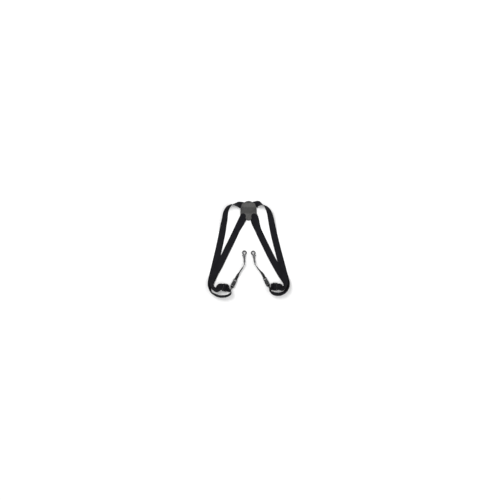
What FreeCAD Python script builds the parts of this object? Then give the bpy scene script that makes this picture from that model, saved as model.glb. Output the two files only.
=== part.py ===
"""Elastic chest harness: leather yoke, two crossing straps, and a snap hook lead on each side.

The harness lies flat on the plane z = 0, front face up, with the yoke towards +Y. The origin is at
the middle of its footprint. All sizes are in millimetres and all angles in degrees.
"""
import FreeCAD
import Part

import math
import os

V = FreeCAD.Vector
UP = V(0, 0, 1)

# webbing
STRAP_W = 25.0
STRAP_T = 1.6
TAPE_W = 10.0
TAPE_T = 1.5
SECTION_STEP = 5.0
SLOPE_STEP = 0.01
GAP = 0.3

# yoke
PANEL_T = 1.5
YOKE_SIDE = 31.4
YOKE_MIDDLE = -0.8
YOKE_TOP = 178.0
YOKE_CORNER_R = 9.0
FRONT_CROWN = 1.4
REAR_CROWN = 6.6
LOWER_LAYER = 1.6
UPPER_LAYER = 3.3
CROSSING = (0.0, 150.0)
STITCH_L = 2.6
STITCH_W = 0.7
STITCH_T = 0.4
STITCH_PITCH = 3.8
STITCH_INSET = 3.0

# strap ring
RING_BAR_R = 1.3
RING_PITCH = 7.0
RING_GAP_H = 26.4
RING_LIFT = 0.2

# slider
SLIDER_L = 20.0
SLIDER_ACROSS = 30.0
SLIDER_T = 2.4
SLOT_L = 5.6
SLOT_ACROSS = 26.0
SLIDER_Z = 9.6
SLIDER_PITCH = 38.0
THREAD_RISE = 2.5

# side-release buckle, along its own axis from the ring's link bar
BAR_R = 1.3
SOCKET_BAR = 10.4
SOCKET_START = 9.0
SOCKET_END = 28.5
SOCKET_HALF_W = 7.5
SOCKET_Z = (0.5, 7.7)
CAVITY_START = 16.0
CAVITY_HALF_W = 5.9
CAVITY_Z = (2.1, 6.1)
WINDOW = (16.8, 22.6)
PLUG_BAR = 40.3
PLUG_END = 41.9
PLUG_HALF_W = 6.9
PLUG_Z = (1.0, 7.2)
ARM_PIVOT = (28.9, 4.0)
ARM_TIP = 17.6
BUCKLE_MID_Z = 4.1

# snap hook, along its own axis from the eye's bar
EYE_Z = 8.6
HOOK_DROP = 6.8
EYE_GAP_H = 10.6
HOOK_T = 4.2
HOOK_RING_AT = 43.3
HOOK_RING_R = 4.5
HOOK_RING_OUT = 8.8
GATE_PIN_AT = (31.6, 1.4)
GATE_REACH = 15.2
GATE_THICK_FROM = 5.6
GATE_SWEEP = 24.0
GATE_PIN_R = 0.8
POST_R = 1.5
RUNNING_GAP = 0.06

# Route points are x, y, tilt, lift. Tilt turns the strap about its own line, from flat at 0 through
# standing on edge at 90. Lift is how high its lower edge stands above the floor.
LEFT = {
    "side": 1,
    "outer": [
        (0.0, 150.0, 0, LOWER_LAYER), (-9.0, 160.0, 0, LOWER_LAYER),
        (-20.0, 166.0, 0, LOWER_LAYER), (-33.0, 168.0, 0, LOWER_LAYER), (-40.5, 168.4, 36, 0.6),
        (-48.0, 168.8, 58, 0), (-55.0, 169.2, 74, 0), (-62.0, 169.3, 88, 0),
        (-66.3, 167.6, 96, 0), (-70.3, 165.0, 103, 0), (-78.3, 157.9, 118, 0),
        (-82.9, 150.6, 126, 0), (-86.2, 142.8, 131, 0), (-88.3, 136.2, 137, 0),
        (-89.6, 126.0, 143, 0), (-92.2, 109.0, 151, 0), (-95.4, 94.0, 159, 0),
        (-98.6, 75.0, 167, 0), (-101.7, 58.0, 180, 0), (-105.1, 40.7, 180, 0),
        (-112.6, 6.5, 180, 0), (-120.6, -27.7, 180, 0), (-128.7, -61.9, 180, 0),
        (-137.2, -96.1, 180, 0), (-142.2, -116.0, 163, 0), (-147.0, -133.0, 132, 0),
        (-147.3, -146.0, 112, 0), (-144.6, -157.3, 98, 0), (-139.3, -164.8, 97, 0),
        (-130.0, -170.8, 101, 0), (-115.0, -177.3, 106, 0), (-99.8, -178.9, 107, 0.4),
        (-84.5, -177.2, 106, 1.2), (-77.0, -174.0, 106, 1.6), (-70.5, -169.8, 105, 2.2),
        (-67.2, -163.8, 101, 2.9), (-67.9, -156.4, 90, 3.2),
    ],
    "strap_end": [
        (-68.7, -155.2, 90, 3.2), (-71.6, -152.8, 112, 2.4), (-75.3, -150.4, 146, 1.8),
        (-79.0, -148.6, 172, 2.4),
    ],
    "inner": [
        (0.0, 150.0, 0, UPPER_LAYER), (-9.0, 140.0, 0, UPPER_LAYER), (-16.5, 129.0, 0, UPPER_LAYER),
        (-22.2, 117.0, 0, UPPER_LAYER), (-32.1, 97.7, 0, 0.6), (-44.5, 74.9, 0, 0),
        (-60.6, 40.7, 0, 0.4), (-77.5, 6.5, 0, 1.9), (-94.2, -27.7, 0, 1.9),
        (-110.6, -61.9, 0, 1.9), (-125.0, -88.0, 0, 1.9), (-134.2, -107.0, -10, 2.2),
        (-139.2, -123.0, -38, 2.8), (-138.8, -137.5, -62, 2.8), (-132.2, -149.0, -62, 1.6),
        (-123.5, -153.6, -48, 1.0), (-116.8, -150.4, -30, 3.4), (-111.0, -143.6, -12, 9.0),
        (-107.4, -141.9, -3, 14.2), (-104.6, -141.8, 0, 15.9),
    ],
    "slider": (-90.0, -145.2),
    "slider_heading": -14.0,
    "ring_bar": (-70.5, -157.7),
    "buckle_heading": 64.2,
    "lead": [
        (-45.8, -107.6, 0, 3.35), (-43.2, -101.8, -14, 2.6), (-40.0, -95.4, -48, 1.4),
        (-35.8, -88.4, -68, 0.6), (-30.2, -79.6, -72, 0.6), (-24.4, -71.0, -74, 1.2),
        (-19.6, -63.2, -86, 2.6), (-17.7, -59.4, -90, 2.8),
    ],
    "eye": (-16.5, -56.4),
    "hook_heading": 90.0,
}
RIGHT = {
    "side": -1,
    "outer": [
        (0.0, 150.0, 0, UPPER_LAYER), (9.0, 160.0, 0, UPPER_LAYER), (19.0, 167.2, 0, UPPER_LAYER),
        (33.0, 170.9, 0, UPPER_LAYER), (39.5, 171.2, -40, 1.5), (45.5, 170.2, -64, 0),
        (52.2, 168.2, -82, 0), (59.5, 164.4, -95, 0), (65.2, 159.4, -109, 0),
        (71.8, 151.1, -123, 0), (75.9, 143.6, -131, 0), (78.8, 136.3, -138, 0),
        (81.4, 127.0, -146, 0), (84.6, 112.0, -153, 0), (88.0, 95.0, -160, 0),
        (92.0, 75.0, -168, 0), (96.0, 57.0, -180, 0), (99.8, 40.7, -180, 0),
        (108.2, 6.5, -180, 0), (117.2, -27.7, -180, 0), (126.4, -61.9, -180, 0),
        (135.5, -96.1, -180, 0), (141.2, -115.0, -163, 0), (146.2, -130.0, -140, 0),
        (147.0, -143.5, -118, 0), (141.6, -155.5, -112, 0), (131.5, -165.0, -112, 0),
        (118.5, -169.5, -116, 0), (105.0, -170.0, -118, 0.4), (92.4, -166.8, -115, 1.2),
        (83.0, -160.6, -104, 2.4), (78.0, -156.0, -92, 3.0), (78.2, -151.0, -90, 3.2),
    ],
    "strap_end": [
        (79.2, -149.6, -90, 3.2), (81.8, -146.8, -112, 2.4), (85.0, -144.2, -146, 1.8),
        (88.5, -142.4, -172, 2.4),
    ],
    "inner": [
        (0.0, 150.0, 0, LOWER_LAYER), (9.0, 140.0, 0, LOWER_LAYER), (16.5, 129.0, 0, LOWER_LAYER),
        (21.5, 117.0, 0, LOWER_LAYER), (26.6, 97.7, 0, 0), (35.0, 74.9, 0, 0),
        (50.7, 40.7, 0, 0.4), (67.4, 6.5, 0, 1.9), (84.4, -27.7, 0, 1.9),
        (103.0, -61.9, 0, 1.9), (121.5, -94.0, 0, 1.9), (132.6, -111.0, 12, 2.2),
        (138.6, -124.0, 38, 2.8), (138.2, -137.0, 60, 2.8), (133.0, -146.2, 62, 1.6),
        (127.0, -149.6, 54, 0.8), (122.5, -147.2, 34, 3.2), (119.6, -144.0, 14, 9.0),
        (117.2, -142.2, 4, 14.2), (114.6, -141.8, 0, 15.9),
    ],
    "slider": (99.5, -141.8),
    "slider_heading": 180.0,
    "ring_bar": (81.1, -152.2),
    "buckle_heading": 116.0,
    "lead": [
        (57.4, -103.2, 0, 3.35), (54.4, -97.6, 14, 2.6), (50.4, -91.6, 30, 1.4),
        (45.4, -85.2, 58, 0.6), (38.6, -77.0, 72, 0.6), (31.6, -68.4, 76, 1.6),
        (27.4, -62.6, 86, 2.7), (25.3, -59.4, 90, 2.8),
    ],
    "eye": (23.8, -56.6),
    "hook_heading": 99.0,
}


def heading(angle):
    """Unit vector on the floor at this angle from +X."""
    return V(math.cos(math.radians(angle)), math.sin(math.radians(angle)), 0)


def hermite(knots, values, t, flat_peaks=False):
    """Smooth value at t through the values at the knots, level at a peak where that is asked."""
    k = max(i for i in range(len(knots) - 1) if knots[i] <= t or i == 0)
    span = knots[k + 1] - knots[k]
    f = (t - knots[k]) / span

    def slope(i):
        """Slope at knot i, from its neighbours."""
        low = max(i - 1, 0)
        high = min(i + 1, len(knots) - 1)
        if flat_peaks and (values[i] - values[low]) * (values[high] - values[i]) <= 0:
            return 0.0
        return (values[high] - values[low]) / (knots[high] - knots[low])

    a = slope(k) * span
    b = slope(k + 1) * span
    start = values[k] * (2 * f**3 - 3 * f**2 + 1) + a * (f**3 - 2 * f**2 + f)
    return start + values[k + 1] * (3 * f**2 - 2 * f**3) + b * (f**3 - f**2)


def route_line(route, width, thick, step=SECTION_STEP):
    """Centre points, tilts and directions along a route, close enough for a smooth strap."""
    knots = [0.0]
    for a, b in zip(route, route[1:]):
        knots.append(knots[-1] + math.dist(a[:2], b[:2]))

    def place(t):
        """Centre and tilt at a distance along the route."""
        x, y = (hermite(knots, [p[c] for p in route], t) for c in (0, 1))
        tilt, lift = (hermite(knots, [p[c] for p in route], t, True) for c in (2, 3))
        turn = math.radians(tilt)
        z = width / 2 * abs(math.sin(turn)) + thick / 2 * abs(math.cos(turn)) + lift
        return V(x, y, z), turn

    count = max(6, round(knots[-1] / step))
    line = []
    for i in range(count + 1):
        t = knots[-1] * i / count
        before = place(max(t - SLOPE_STEP, 0))[0]
        after = place(min(t + SLOPE_STEP, knots[-1]))[0]
        line.append((*place(t), (after - before).normalize()))
    return line


def joined_line(places):
    """Line through centre points and tilts, with directions from the neighbours."""
    line = []
    for i, (centre, turn) in enumerate(places):
        before = places[max(i - 1, 0)][0]
        after = places[min(i + 1, len(places) - 1)][0]
        line.append((centre, turn, (after - before).normalize()))
    return line


def sections(line, width, thick):
    """Corners of the rectangular section at each place along a line."""
    corners = []
    for centre, turn, along in line:
        side = UP.cross(along).normalize()
        across = side * math.cos(turn) + along.cross(side) * math.sin(turn)
        face = along.cross(across).normalize()
        a = across * (width / 2)
        b = face * (thick / 2)
        corners.append([centre + a + b, centre - a + b, centre - a - b, centre + a - b])
    return corners


def ribbon(line, width, thick):
    """Flat strap of rectangular section along a line of centre points, tilts and directions."""
    wires = [Part.makePolygon(c + c[:1]) for c in sections(line, width, thick)]
    return Part.makeLoft(wires, True, True)


def flat_face(*points):
    """Flat face through these corners."""
    return Part.Face(Part.makePolygon(list(points) + [points[0]]))


def tape_run(line, width=TAPE_W, thick=TAPE_T):
    """Narrow tape along a line, in flat facets that keep its thickness where it twists."""
    corners = sections(line, width, thick)
    faces = [flat_face(*corners[0]), flat_face(*corners[-1])]
    for here, after in zip(corners, corners[1:]):
        for i, k in ((0, 1), (1, 2)):
            faces.append(flat_face(here[i], here[k], after[k]))
            faces.append(flat_face(here[i], after[k], after[i]))
        for i, k in ((2, 3), (3, 0)):
            faces.append(flat_face(here[i], here[k], after[i]))
            faces.append(flat_face(here[k], after[k], after[i]))
    solid = Part.makeSolid(Part.makeShell(faces))
    if solid.Volume < 0:
        solid.reverse()
    return solid


def strap(route, width=STRAP_W, thick=STRAP_T):
    """Strap along a route of x, y, tilt and lift."""
    return ribbon(route_line(route, width, thick), width, thick)


def tube(at, axis, inner, outer, length):
    """Tube centred at a point, with its bore along the axis."""
    start = at - axis * (length / 2)
    return Part.makeCylinder(outer, length, start, axis).cut(
        Part.makeCylinder(inner, length, start, axis)
    )


def rod(at, axis, radius, length):
    """Round bar centred at a point."""
    return Part.makeCylinder(radius, length, at - axis * (length / 2), axis)


def block(x, y, z):
    """Box between two limits on each axis."""
    return Part.makeBox(x[1] - x[0], y[1] - y[0], z[1] - z[0], V(x[0], y[0], z[0]))


def rounded_block(x, y, z, radius, axis=2):
    """Box with the four edges along one axis rounded."""
    box = block(x, y, z)
    along = [e for e in box.Edges if abs(abs(e.tangentAt(0)[axis]) - 1) < 1e-6]
    return box.makeFillet(radius, along)


def softened(shape, radius):
    """The shape with every edge rounded, or bevelled where rounding fails."""
    try:
        rounded = shape.makeFillet(radius, shape.Edges)
        if rounded.isValid() and rounded.Volume > 0:
            return rounded
    except Exception:
        pass
    return shape


def placed(shape, at, x_axis, y_axis):
    """Copy of a shape moved from its own frame to this one."""
    z_axis = x_axis.cross(y_axis)
    matrix = FreeCAD.Matrix(
        x_axis.x, y_axis.x, z_axis.x, at.x,
        x_axis.y, y_axis.y, z_axis.y, at.y,
        x_axis.z, y_axis.z, z_axis.z, at.z,
        0, 0, 0, 1,
    )
    moved = shape.copy()
    moved.Placement = FreeCAD.Placement(matrix).multiply(shape.Placement)
    return moved


# ---------------------------------------------------------------- yoke

def yoke_outline(inset, crown):
    """Closed outline of a yoke panel: arched top, two strap arches and a round tongue."""
    side = YOKE_SIDE - inset
    top = YOKE_TOP - inset
    r = YOKE_CORNER_R - inset / 2
    m = YOKE_MIDDLE
    foot = 128.0 + inset
    arch = 136.0 + inset
    tongue = 108.5 + inset
    neck = 8.0 - inset / 2
    k = r * (1 - math.sqrt(0.5))
    edges = [
        Part.makeLine(V(m + side, foot, 0), V(m + side, top - r, 0)),
        Part.Arc(V(m + side, top - r, 0), V(m + side - k, top - k, 0), V(m + side - r, top, 0)).toShape(),
        Part.Arc(V(m + side - r, top, 0), V(m, top + crown, 0), V(m - side + r, top, 0)).toShape(),
        Part.Arc(V(m - side + r, top, 0), V(m - side + k, top - k, 0), V(m - side, top - r, 0)).toShape(),
        Part.makeLine(V(m - side, top - r, 0), V(m - side, foot, 0)),
        Part.Arc(V(m - side, foot, 0), V(m - side + 8.0, arch, 0), V(m - neck - 3.0, 121.0, 0)).toShape(),
        Part.Arc(V(m - neck - 3.0, 121.0, 0), V(m, tongue, 0), V(m + neck + 3.0, 121.0, 0)).toShape(),
        Part.Arc(V(m + neck + 3.0, 121.0, 0), V(m + side - 8.0, arch, 0), V(m + side, foot, 0)).toShape(),
    ]
    return Part.Wire(edges)


def yoke_panel(inset, low, thick, crown):
    """One leather panel of the yoke."""
    face = Part.Face(yoke_outline(inset, crown))
    panel = face.extrude(V(0, 0, thick))
    panel.translate(V(0, 0, low))
    return panel


def yoke_stitching(surface):
    """Row of stitches just inside the front panel's edge, lying on its face."""
    wire = yoke_outline(STITCH_INSET, FRONT_CROWN)
    stitches = []
    for point in wire.discretize(Distance=STITCH_PITCH)[:-1]:
        stitches.append(V(point))
    bars = []
    for here, after in zip(stitches, stitches[1:] + stitches[:1]):
        run = after - here
        if run.Length < STITCH_PITCH * 0.6:
            continue
        along = run.normalize()
        bar = block((-STITCH_L / 2, STITCH_L / 2), (-STITCH_W / 2, STITCH_W / 2), (0, STITCH_T))
        bars.append(placed(bar, here + V(0, 0, surface), along, UP.cross(along)))
    return Part.makeCompound(bars)


# ---------------------------------------------------------------- strap ring and slider

def strap_ring(bar, along):
    """Upright ring with two bars, one for the strap and one for the link tape."""
    low = RING_LIFT
    high = low + RING_GAP_H + 4 * RING_BAR_R
    far = bar + along * RING_PITCH
    middle = (low + high) / 2
    solid = rod(bar + UP * middle, UP, RING_BAR_R, high - low)
    solid = solid.fuse(rod(far + UP * middle, UP, RING_BAR_R, high - low))
    for z in (low + RING_BAR_R, high - RING_BAR_R):
        span = block((0, RING_PITCH), (-RING_BAR_R, RING_BAR_R), (-RING_BAR_R, RING_BAR_R))
        solid = solid.fuse(placed(span, bar + UP * z, along, UP.cross(along)))
    return solid.removeSplitter()


def slider_axes(side):
    """Slider's middle, its line along the strap and its line across it."""
    x, y = side["slider"]
    flat = heading(side["slider_heading"])
    pitch = math.radians(SLIDER_PITCH)
    along = flat * math.cos(pitch) - UP * math.sin(pitch)
    return V(x, y, SLIDER_Z), along, UP.cross(flat)


def slider_plate():
    """Three-bar slider in its own frame, strap along X."""
    plate = rounded_block(
        (-SLIDER_L / 2, SLIDER_L / 2), (-SLIDER_ACROSS / 2, SLIDER_ACROSS / 2),
        (-SLIDER_T / 2, SLIDER_T / 2), 3.0,
    )
    for x in (-SLIDER_L / 4 + 0.4, SLIDER_L / 4 - 0.4):
        slot = rounded_block(
            (x - SLOT_L / 2, x + SLOT_L / 2), (-SLOT_ACROSS / 2, SLOT_ACROSS / 2),
            (-SLIDER_T, SLIDER_T), 1.0,
        )
        plate = plate.cut(slot)
    return plate


def strap_tail(side):
    """End of the inner strap: over the hump, through the slider's slots and out as a short tail."""
    at, along, across = slider_axes(side)
    normal = along.cross(across)
    last, _, forward = route_line(side["inner"], STRAP_W, STRAP_T)[-1]
    low = -SLIDER_T / 2 - GAP - STRAP_T / 2
    high = -low
    half = SLIDER_L / 2
    profile = [
        (-half - 3.6, low - 0.4), (-half - 0.5, low), (-half + 2.0, low), (-6.2, low * 0.8),
        (-4.6, 0.0), (-3.0, high * 0.8), (-1.4, high), (1.6, high), (3.0, high * 0.65),
        (4.1, 0.0), (5.2, low * 0.75), (6.6, low), (half - 1.0, low), (half + 1.5, low),
    ]
    places = [(last + forward * GAP, 0.0), (last + forward * (GAP + 1.2), 0.0)]
    for s, h in profile:
        places.append((at + along * s + normal * h, 0.0))
    return ribbon(joined_line(places), STRAP_W, STRAP_T)


def strap_end(side):
    """Sewn end of the outer strap: from the ring, turning flat and over the slider's end bar."""
    at, along, across = slider_axes(side)
    normal = along.cross(across)
    over = SLIDER_T / 2 + GAP + STRAP_T / 2
    line = route_line(side["strap_end"], STRAP_W, STRAP_T, 1.2)
    places = [(centre, turn) for centre, turn, _ in line]
    flat = math.radians(180 * side["side"])
    for s, h in [(8.8, over + 0.1), (7.4, over), (6.4, over - 1.0), (6.2, -0.2)]:
        places.append((at + along * s + normal * h, flat))
    return ribbon(joined_line(places), STRAP_W, STRAP_T)


# ---------------------------------------------------------------- buckle

def socket_body():
    """Female half of the side-release buckle in its own frame."""
    y = SOCKET_HALF_W
    mid = sum(CAVITY_Z) / 2
    body = rounded_block((SOCKET_START, SOCKET_END), (-y, y), SOCKET_Z, 1.6)
    body = softened(body, 0.6)
    body = body.cut(block((SOCKET_START - 1, 14.6), (-5.4, 5.4), (0, 9)))
    body = body.cut(block((CAVITY_START, SOCKET_END + 1), (-CAVITY_HALF_W, CAVITY_HALF_W), CAVITY_Z))
    body = body.cut(block(WINDOW, (-y - 1, y + 1), CAVITY_Z))
    return body.fuse(rod(V(SOCKET_BAR, 0, mid), V(0, 1, 0), BAR_R, 11.4)).removeSplitter()


def plug_body():
    """Male half: base with a tape bar, and the centre guide."""
    y = PLUG_HALF_W
    base = rounded_block((28.8, PLUG_END), (-y, y), PLUG_Z, 1.4)
    base = softened(base, 0.5)
    base = base.cut(block((34.6, PLUG_END + 1), (-5.4, 5.4), (0, 9)))
    base = base.fuse(rod(V(PLUG_BAR, 0, BUCKLE_MID_Z), V(0, 1, 0), BAR_R, 11.4))
    base = base.fuse(block((17.2, 29.2), (-0.8, 0.8), (2.7, 5.5)))
    for side in (-1, 1):
        x, off = ARM_PIVOT
        seat = rod(V(x, side * off, BUCKLE_MID_Z), UP, 1.1, 8)
        base = base.cut(seat)
    return base.removeSplitter()


def plug_arm(side):
    """Springing arm of the plug with its thumb pad, on one side of the guide."""
    x, off = ARM_PIVOT
    low, high = CAVITY_Z[0] + 0.3, CAVITY_Z[1] - 0.3
    arm = block((ARM_TIP + 3, x), (off - 0.7, off + 0.7), (low, high))
    pad_points = [
        V(ARM_TIP, 3.3, low), V(22.3, 3.3, low), V(22.3, 7.3, low), V(20.4, 7.3, low),
        V(ARM_TIP, 5.0, low),
    ]
    pad = Part.Face(Part.makePolygon(pad_points + pad_points[:1])).extrude(V(0, 0, high - low))
    root = Part.makeCylinder(0.95, high - low, V(x, off, low))
    solid = arm.fuse(pad).fuse(root).removeSplitter()
    if side < 0:
        solid = solid.mirror(V(0, 0, 0), V(0, 1, 0))
    return solid


def link_tape(at, along, left):
    """Short tape from the ring's bar to the socket's bar, turning from on edge to flat."""
    mid = V(0, 0, BUCKLE_MID_Z)
    ring_z = 8.2
    wrap = tube(at + V(0, 0, ring_z), UP, RING_BAR_R + 0.1, RING_BAR_R + 0.1 + TAPE_T, TAPE_W)
    line = []
    for i in range(7):
        f = i / 6
        s = RING_BAR_R + 0.5 + f * (SOCKET_BAR - 2 * RING_BAR_R - 1.0)
        centre = at + along * s + UP * (ring_z + (mid.z - ring_z) * f)
        line.append((centre, math.radians(90 * (1 - f))))
    twist = tape_run(joined_line(line))
    end = tube(at + along * SOCKET_BAR + mid, left, BAR_R + 0.1, BAR_R + 0.1 + TAPE_T, TAPE_W)
    bars = rod(at + V(0, 0, ring_z), UP, RING_BAR_R + 0.1, 30)
    bars = bars.fuse(rod(at + along * SOCKET_BAR + mid, left, BAR_R + 0.1, 12))
    return wrap.fuse(twist).fuse(end).cut(bars).removeSplitter()


def hook_axes(side):
    """Hook's own line, the side that its thumb tab is on, and the line of its eye's bar."""
    level = heading(side["hook_heading"])
    drop = math.radians(HOOK_DROP)
    line = level * math.cos(drop) - UP * math.sin(drop)
    across = UP.cross(level)
    return line, across * side["side"], line.cross(across)


def lead_tape(side, at, along, left):
    """Long narrow tape from the plug's bar to the hook's eye, with a half turn on the way."""
    mid = V(0, 0, BUCKLE_MID_Z)
    plug_bar = at + along * PLUG_BAR + mid
    eye_bar = V(side["eye"][0], side["eye"][1], EYE_Z)
    eye_axis = hook_axes(side)[2]
    start = (plug_bar + along * (BAR_R + 0.6), 0.0, along)
    line = [start] + route_line(side["lead"], TAPE_W, TAPE_T)
    tape = tape_run(line)
    reach = line[-1][0]
    toward = (eye_bar - reach)
    toward.z = 0
    edge = math.radians(90)
    close = [(reach - toward * 0.2, edge), (eye_bar - toward * 0.3, edge)]
    close = tape_run(joined_line(close))
    wraps = tube(plug_bar, left, BAR_R + 0.1, BAR_R + 0.1 + TAPE_T, TAPE_W)
    wraps = wraps.fuse(tube(eye_bar, eye_axis, RING_BAR_R + 0.1, RING_BAR_R + 0.1 + TAPE_T, TAPE_W))
    bores = rod(plug_bar, left, BAR_R + 0.1, 12).fuse(rod(eye_bar, eye_axis, RING_BAR_R + 0.1, 14))
    return tape.fuse(close).fuse(wraps).cut(bores).removeSplitter()


# ---------------------------------------------------------------- snap hook, in its own frame

def hook_eye():
    """Upright swivel eye: a bar for the tape, two legs and a boss for the post."""
    half = EYE_GAP_H / 2 + BAR_R
    bar = rod(V(0, 0, 0), UP, RING_BAR_R, EYE_GAP_H + 2 * BAR_R)
    solid = bar
    for z in (-half, half):
        solid = solid.fuse(rod(V(2.2, 0, z), V(1, 0, 0), RING_BAR_R, 4.4))
        solid = solid.fuse(Part.makeSphere(RING_BAR_R, V(0, 0, z)))
        leg = V(2.2, 0, -z)
        solid = solid.fuse(Part.makeCylinder(RING_BAR_R, leg.Length, V(4.4, 0, z), leg))
        solid = solid.fuse(Part.makeSphere(RING_BAR_R, V(4.4, 0, z)))
    solid = solid.fuse(Part.makeCylinder(2.7, 1.6, V(5.6, 0, 0), V(1, 0, 0)))
    return solid.cut(Part.makeCylinder(1.0, 6, V(4.2, 0, 0), V(1, 0, 0))).removeSplitter()


def swivel_post():
    """Headed post riveted in the eye, with the hook's barrel turning on it."""
    stem = Part.makeCylinder(1.0, 2.8, V(4.4, 0, 0), V(1, 0, 0))
    shaft = Part.makeCylinder(POST_R, 4.6, V(7.2, 0, 0), V(1, 0, 0))
    head = Part.makeCylinder(2.2, 1.2, V(11.8, 0, 0), V(1, 0, 0))
    return stem.fuse(shaft).fuse(head).removeSplitter()


def hook_ring_blank():
    """Whole ring of the hook before it is split between the hook and its gate."""
    ring = Part.makeCylinder(HOOK_RING_OUT, HOOK_T, V(HOOK_RING_AT, 0, -HOOK_T / 2))
    ring = ring.makeFillet(1.5, [e for e in ring.Edges if e.Curve.TypeId == "Part::GeomCircle"])
    hole = Part.makeCylinder(HOOK_RING_R, HOOK_T + 2, V(HOOK_RING_AT, 0, -HOOK_T / 2 - 1))
    ring = ring.cut(hole)
    rims = []
    for e in ring.Edges:
        if e.Curve.TypeId == "Part::GeomCircle" and abs(e.Curve.Radius - HOOK_RING_R) < 1e-6:
            rims.append(e)
    return ring.makeFillet(0.5, rims)


def gate_zone(reach, inset):
    """Space that the gate takes up in the ring: within reach of its pin, on its own side."""
    pin = V(GATE_PIN_AT[0], GATE_PIN_AT[1], -10)
    zone = Part.makeCylinder(reach, 20, pin)
    return zone.common(block((28, 60), (2.4 + inset, 20), (-10, 10)))


def hook_body():
    """Hook with its swivel barrel, shank, gate slot and claw."""
    barrel = Part.makeCylinder(3.3, 7.6, V(7.5, 0, 0), V(1, 0, 0))
    neck = Part.makeCone(3.3, 2.6, 2.4, V(15.1, 0, 0), V(1, 0, 0))
    shank_points = [
        V(16.5, -2.6, 0), V(27.0, -3.6, 0), V(37.0, -4.6, 0), V(37.6, 4.6, 0), V(31.0, 5.0, 0),
        V(27.0, 4.4, 0), V(16.5, 2.6, 0),
    ]
    shank = Part.Face(Part.makePolygon(shank_points + shank_points[:1])).extrude(V(0, 0, 5.2))
    shank.translate(V(0, 0, -2.6))
    shank = softened(shank, 0.9)
    hole = Part.makeCylinder(HOOK_RING_R, 12, V(HOOK_RING_AT, 0, -6))
    claw = hook_ring_blank().cut(gate_zone(GATE_REACH + 0.15, -0.15))
    solid = barrel.fuse(neck).fuse(shank).cut(hole).fuse(claw)
    pin = V(GATE_PIN_AT[0], GATE_PIN_AT[1], 0)
    slot = Part.makeCylinder(3.5, 2.8, pin - V(0, 0, 1.4))
    slot = slot.fuse(block((pin.x - 3.5, 40), (pin.y, 20), (-1.4, 1.4)))
    slot = slot.fuse(block((pin.x, 40), (-2.1, 20), (-1.4, 1.4)).common(
        Part.makeCylinder(8.6, 4, pin - V(0, 0, 2))))
    swept = Part.makeCylinder(9.0, 20, pin - V(0, 0, 10), UP, GATE_SWEEP + 90)
    swept.rotate(pin, UP, -GATE_SWEEP)
    swept = swept.cut(Part.makeCylinder(GATE_THICK_FROM - 0.2, 20, pin - V(0, 0, 10)))
    solid = solid.cut(slot).cut(swept)
    solid = solid.cut(rod(pin, UP, GATE_PIN_R, 12))
    solid = solid.cut(Part.makeCylinder(POST_R + RUNNING_GAP, 5, V(7.0, 0, 0), V(1, 0, 0)))
    solid = solid.cut(Part.makeCylinder(2.2 + RUNNING_GAP, 1.4, V(11.7, 0, 0), V(1, 0, 0)))
    return solid.removeSplitter()


def hook_gate():
    """Gate that closes the ring, with its root in the hook's slot and its thumb tab outside."""
    pin = V(GATE_PIN_AT[0], GATE_PIN_AT[1], 0)
    half = 1.1
    root = Part.makeCylinder(3.0, 2 * half, pin - V(0, 0, half))
    arm = block((pin.x, 40), (pin.y + 0.2, pin.y + 3.0), (-half, half))
    arm = arm.cut(Part.makeCylinder(HOOK_RING_R, 12, V(HOOK_RING_AT, 0, -6)))
    closing = hook_ring_blank().common(gate_zone(GATE_REACH - 0.15, 0.15))
    closing = closing.cut(Part.makeCylinder(GATE_THICK_FROM, 20, pin - V(0, 0, 10)))
    tab_points = [
        V(pin.x - 2.6, pin.y + 1.0, 0), V(pin.x + 1.4, pin.y + 2.0, 0), V(pin.x + 3.0, pin.y + 6.2, 0),
        V(pin.x + 2.0, pin.y + 8.0, 0), V(pin.x + 0.2, pin.y + 7.4, 0), V(pin.x - 1.4, pin.y + 4.6, 0),
    ]
    tab = Part.Face(Part.makePolygon(tab_points + tab_points[:1])).extrude(V(0, 0, 2 * half))
    tab.translate(V(0, 0, -half))
    solid = root.fuse(arm).fuse(closing).fuse(tab)
    solid = solid.cut(rod(pin, UP, GATE_PIN_R + RUNNING_GAP, 12))
    solid = solid.cut(rod(pin, UP, 2.2, 12).common(block((20, 40), (-5, 10), (0.1, 10))))
    return solid.removeSplitter()


def gate_pin():
    """Rivet that the gate turns on."""
    pin = V(GATE_PIN_AT[0], GATE_PIN_AT[1], 0)
    return rod(pin, UP, GATE_PIN_R, 5.2)


def gate_spring():
    """Small coil spring round the gate's pin, of square wire."""
    wire = 0.4
    radius = 1.5
    turns = 1.6
    steps = 32
    line = []
    for i in range(steps + 1):
        turn = math.tau * turns * i / steps
        spot = V(radius * math.cos(turn), radius * math.sin(turn), 0.8 * i / steps)
        line.append((spot, 0.0, V(-math.sin(turn), math.cos(turn), 0)))
    coil = tape_run(line, wire, wire)
    return placed(coil, V(GATE_PIN_AT[0], GATE_PIN_AT[1], 0.33), V(1, 0, 0), V(0, 1, 0))


# ---------------------------------------------------------------- assembly

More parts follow.
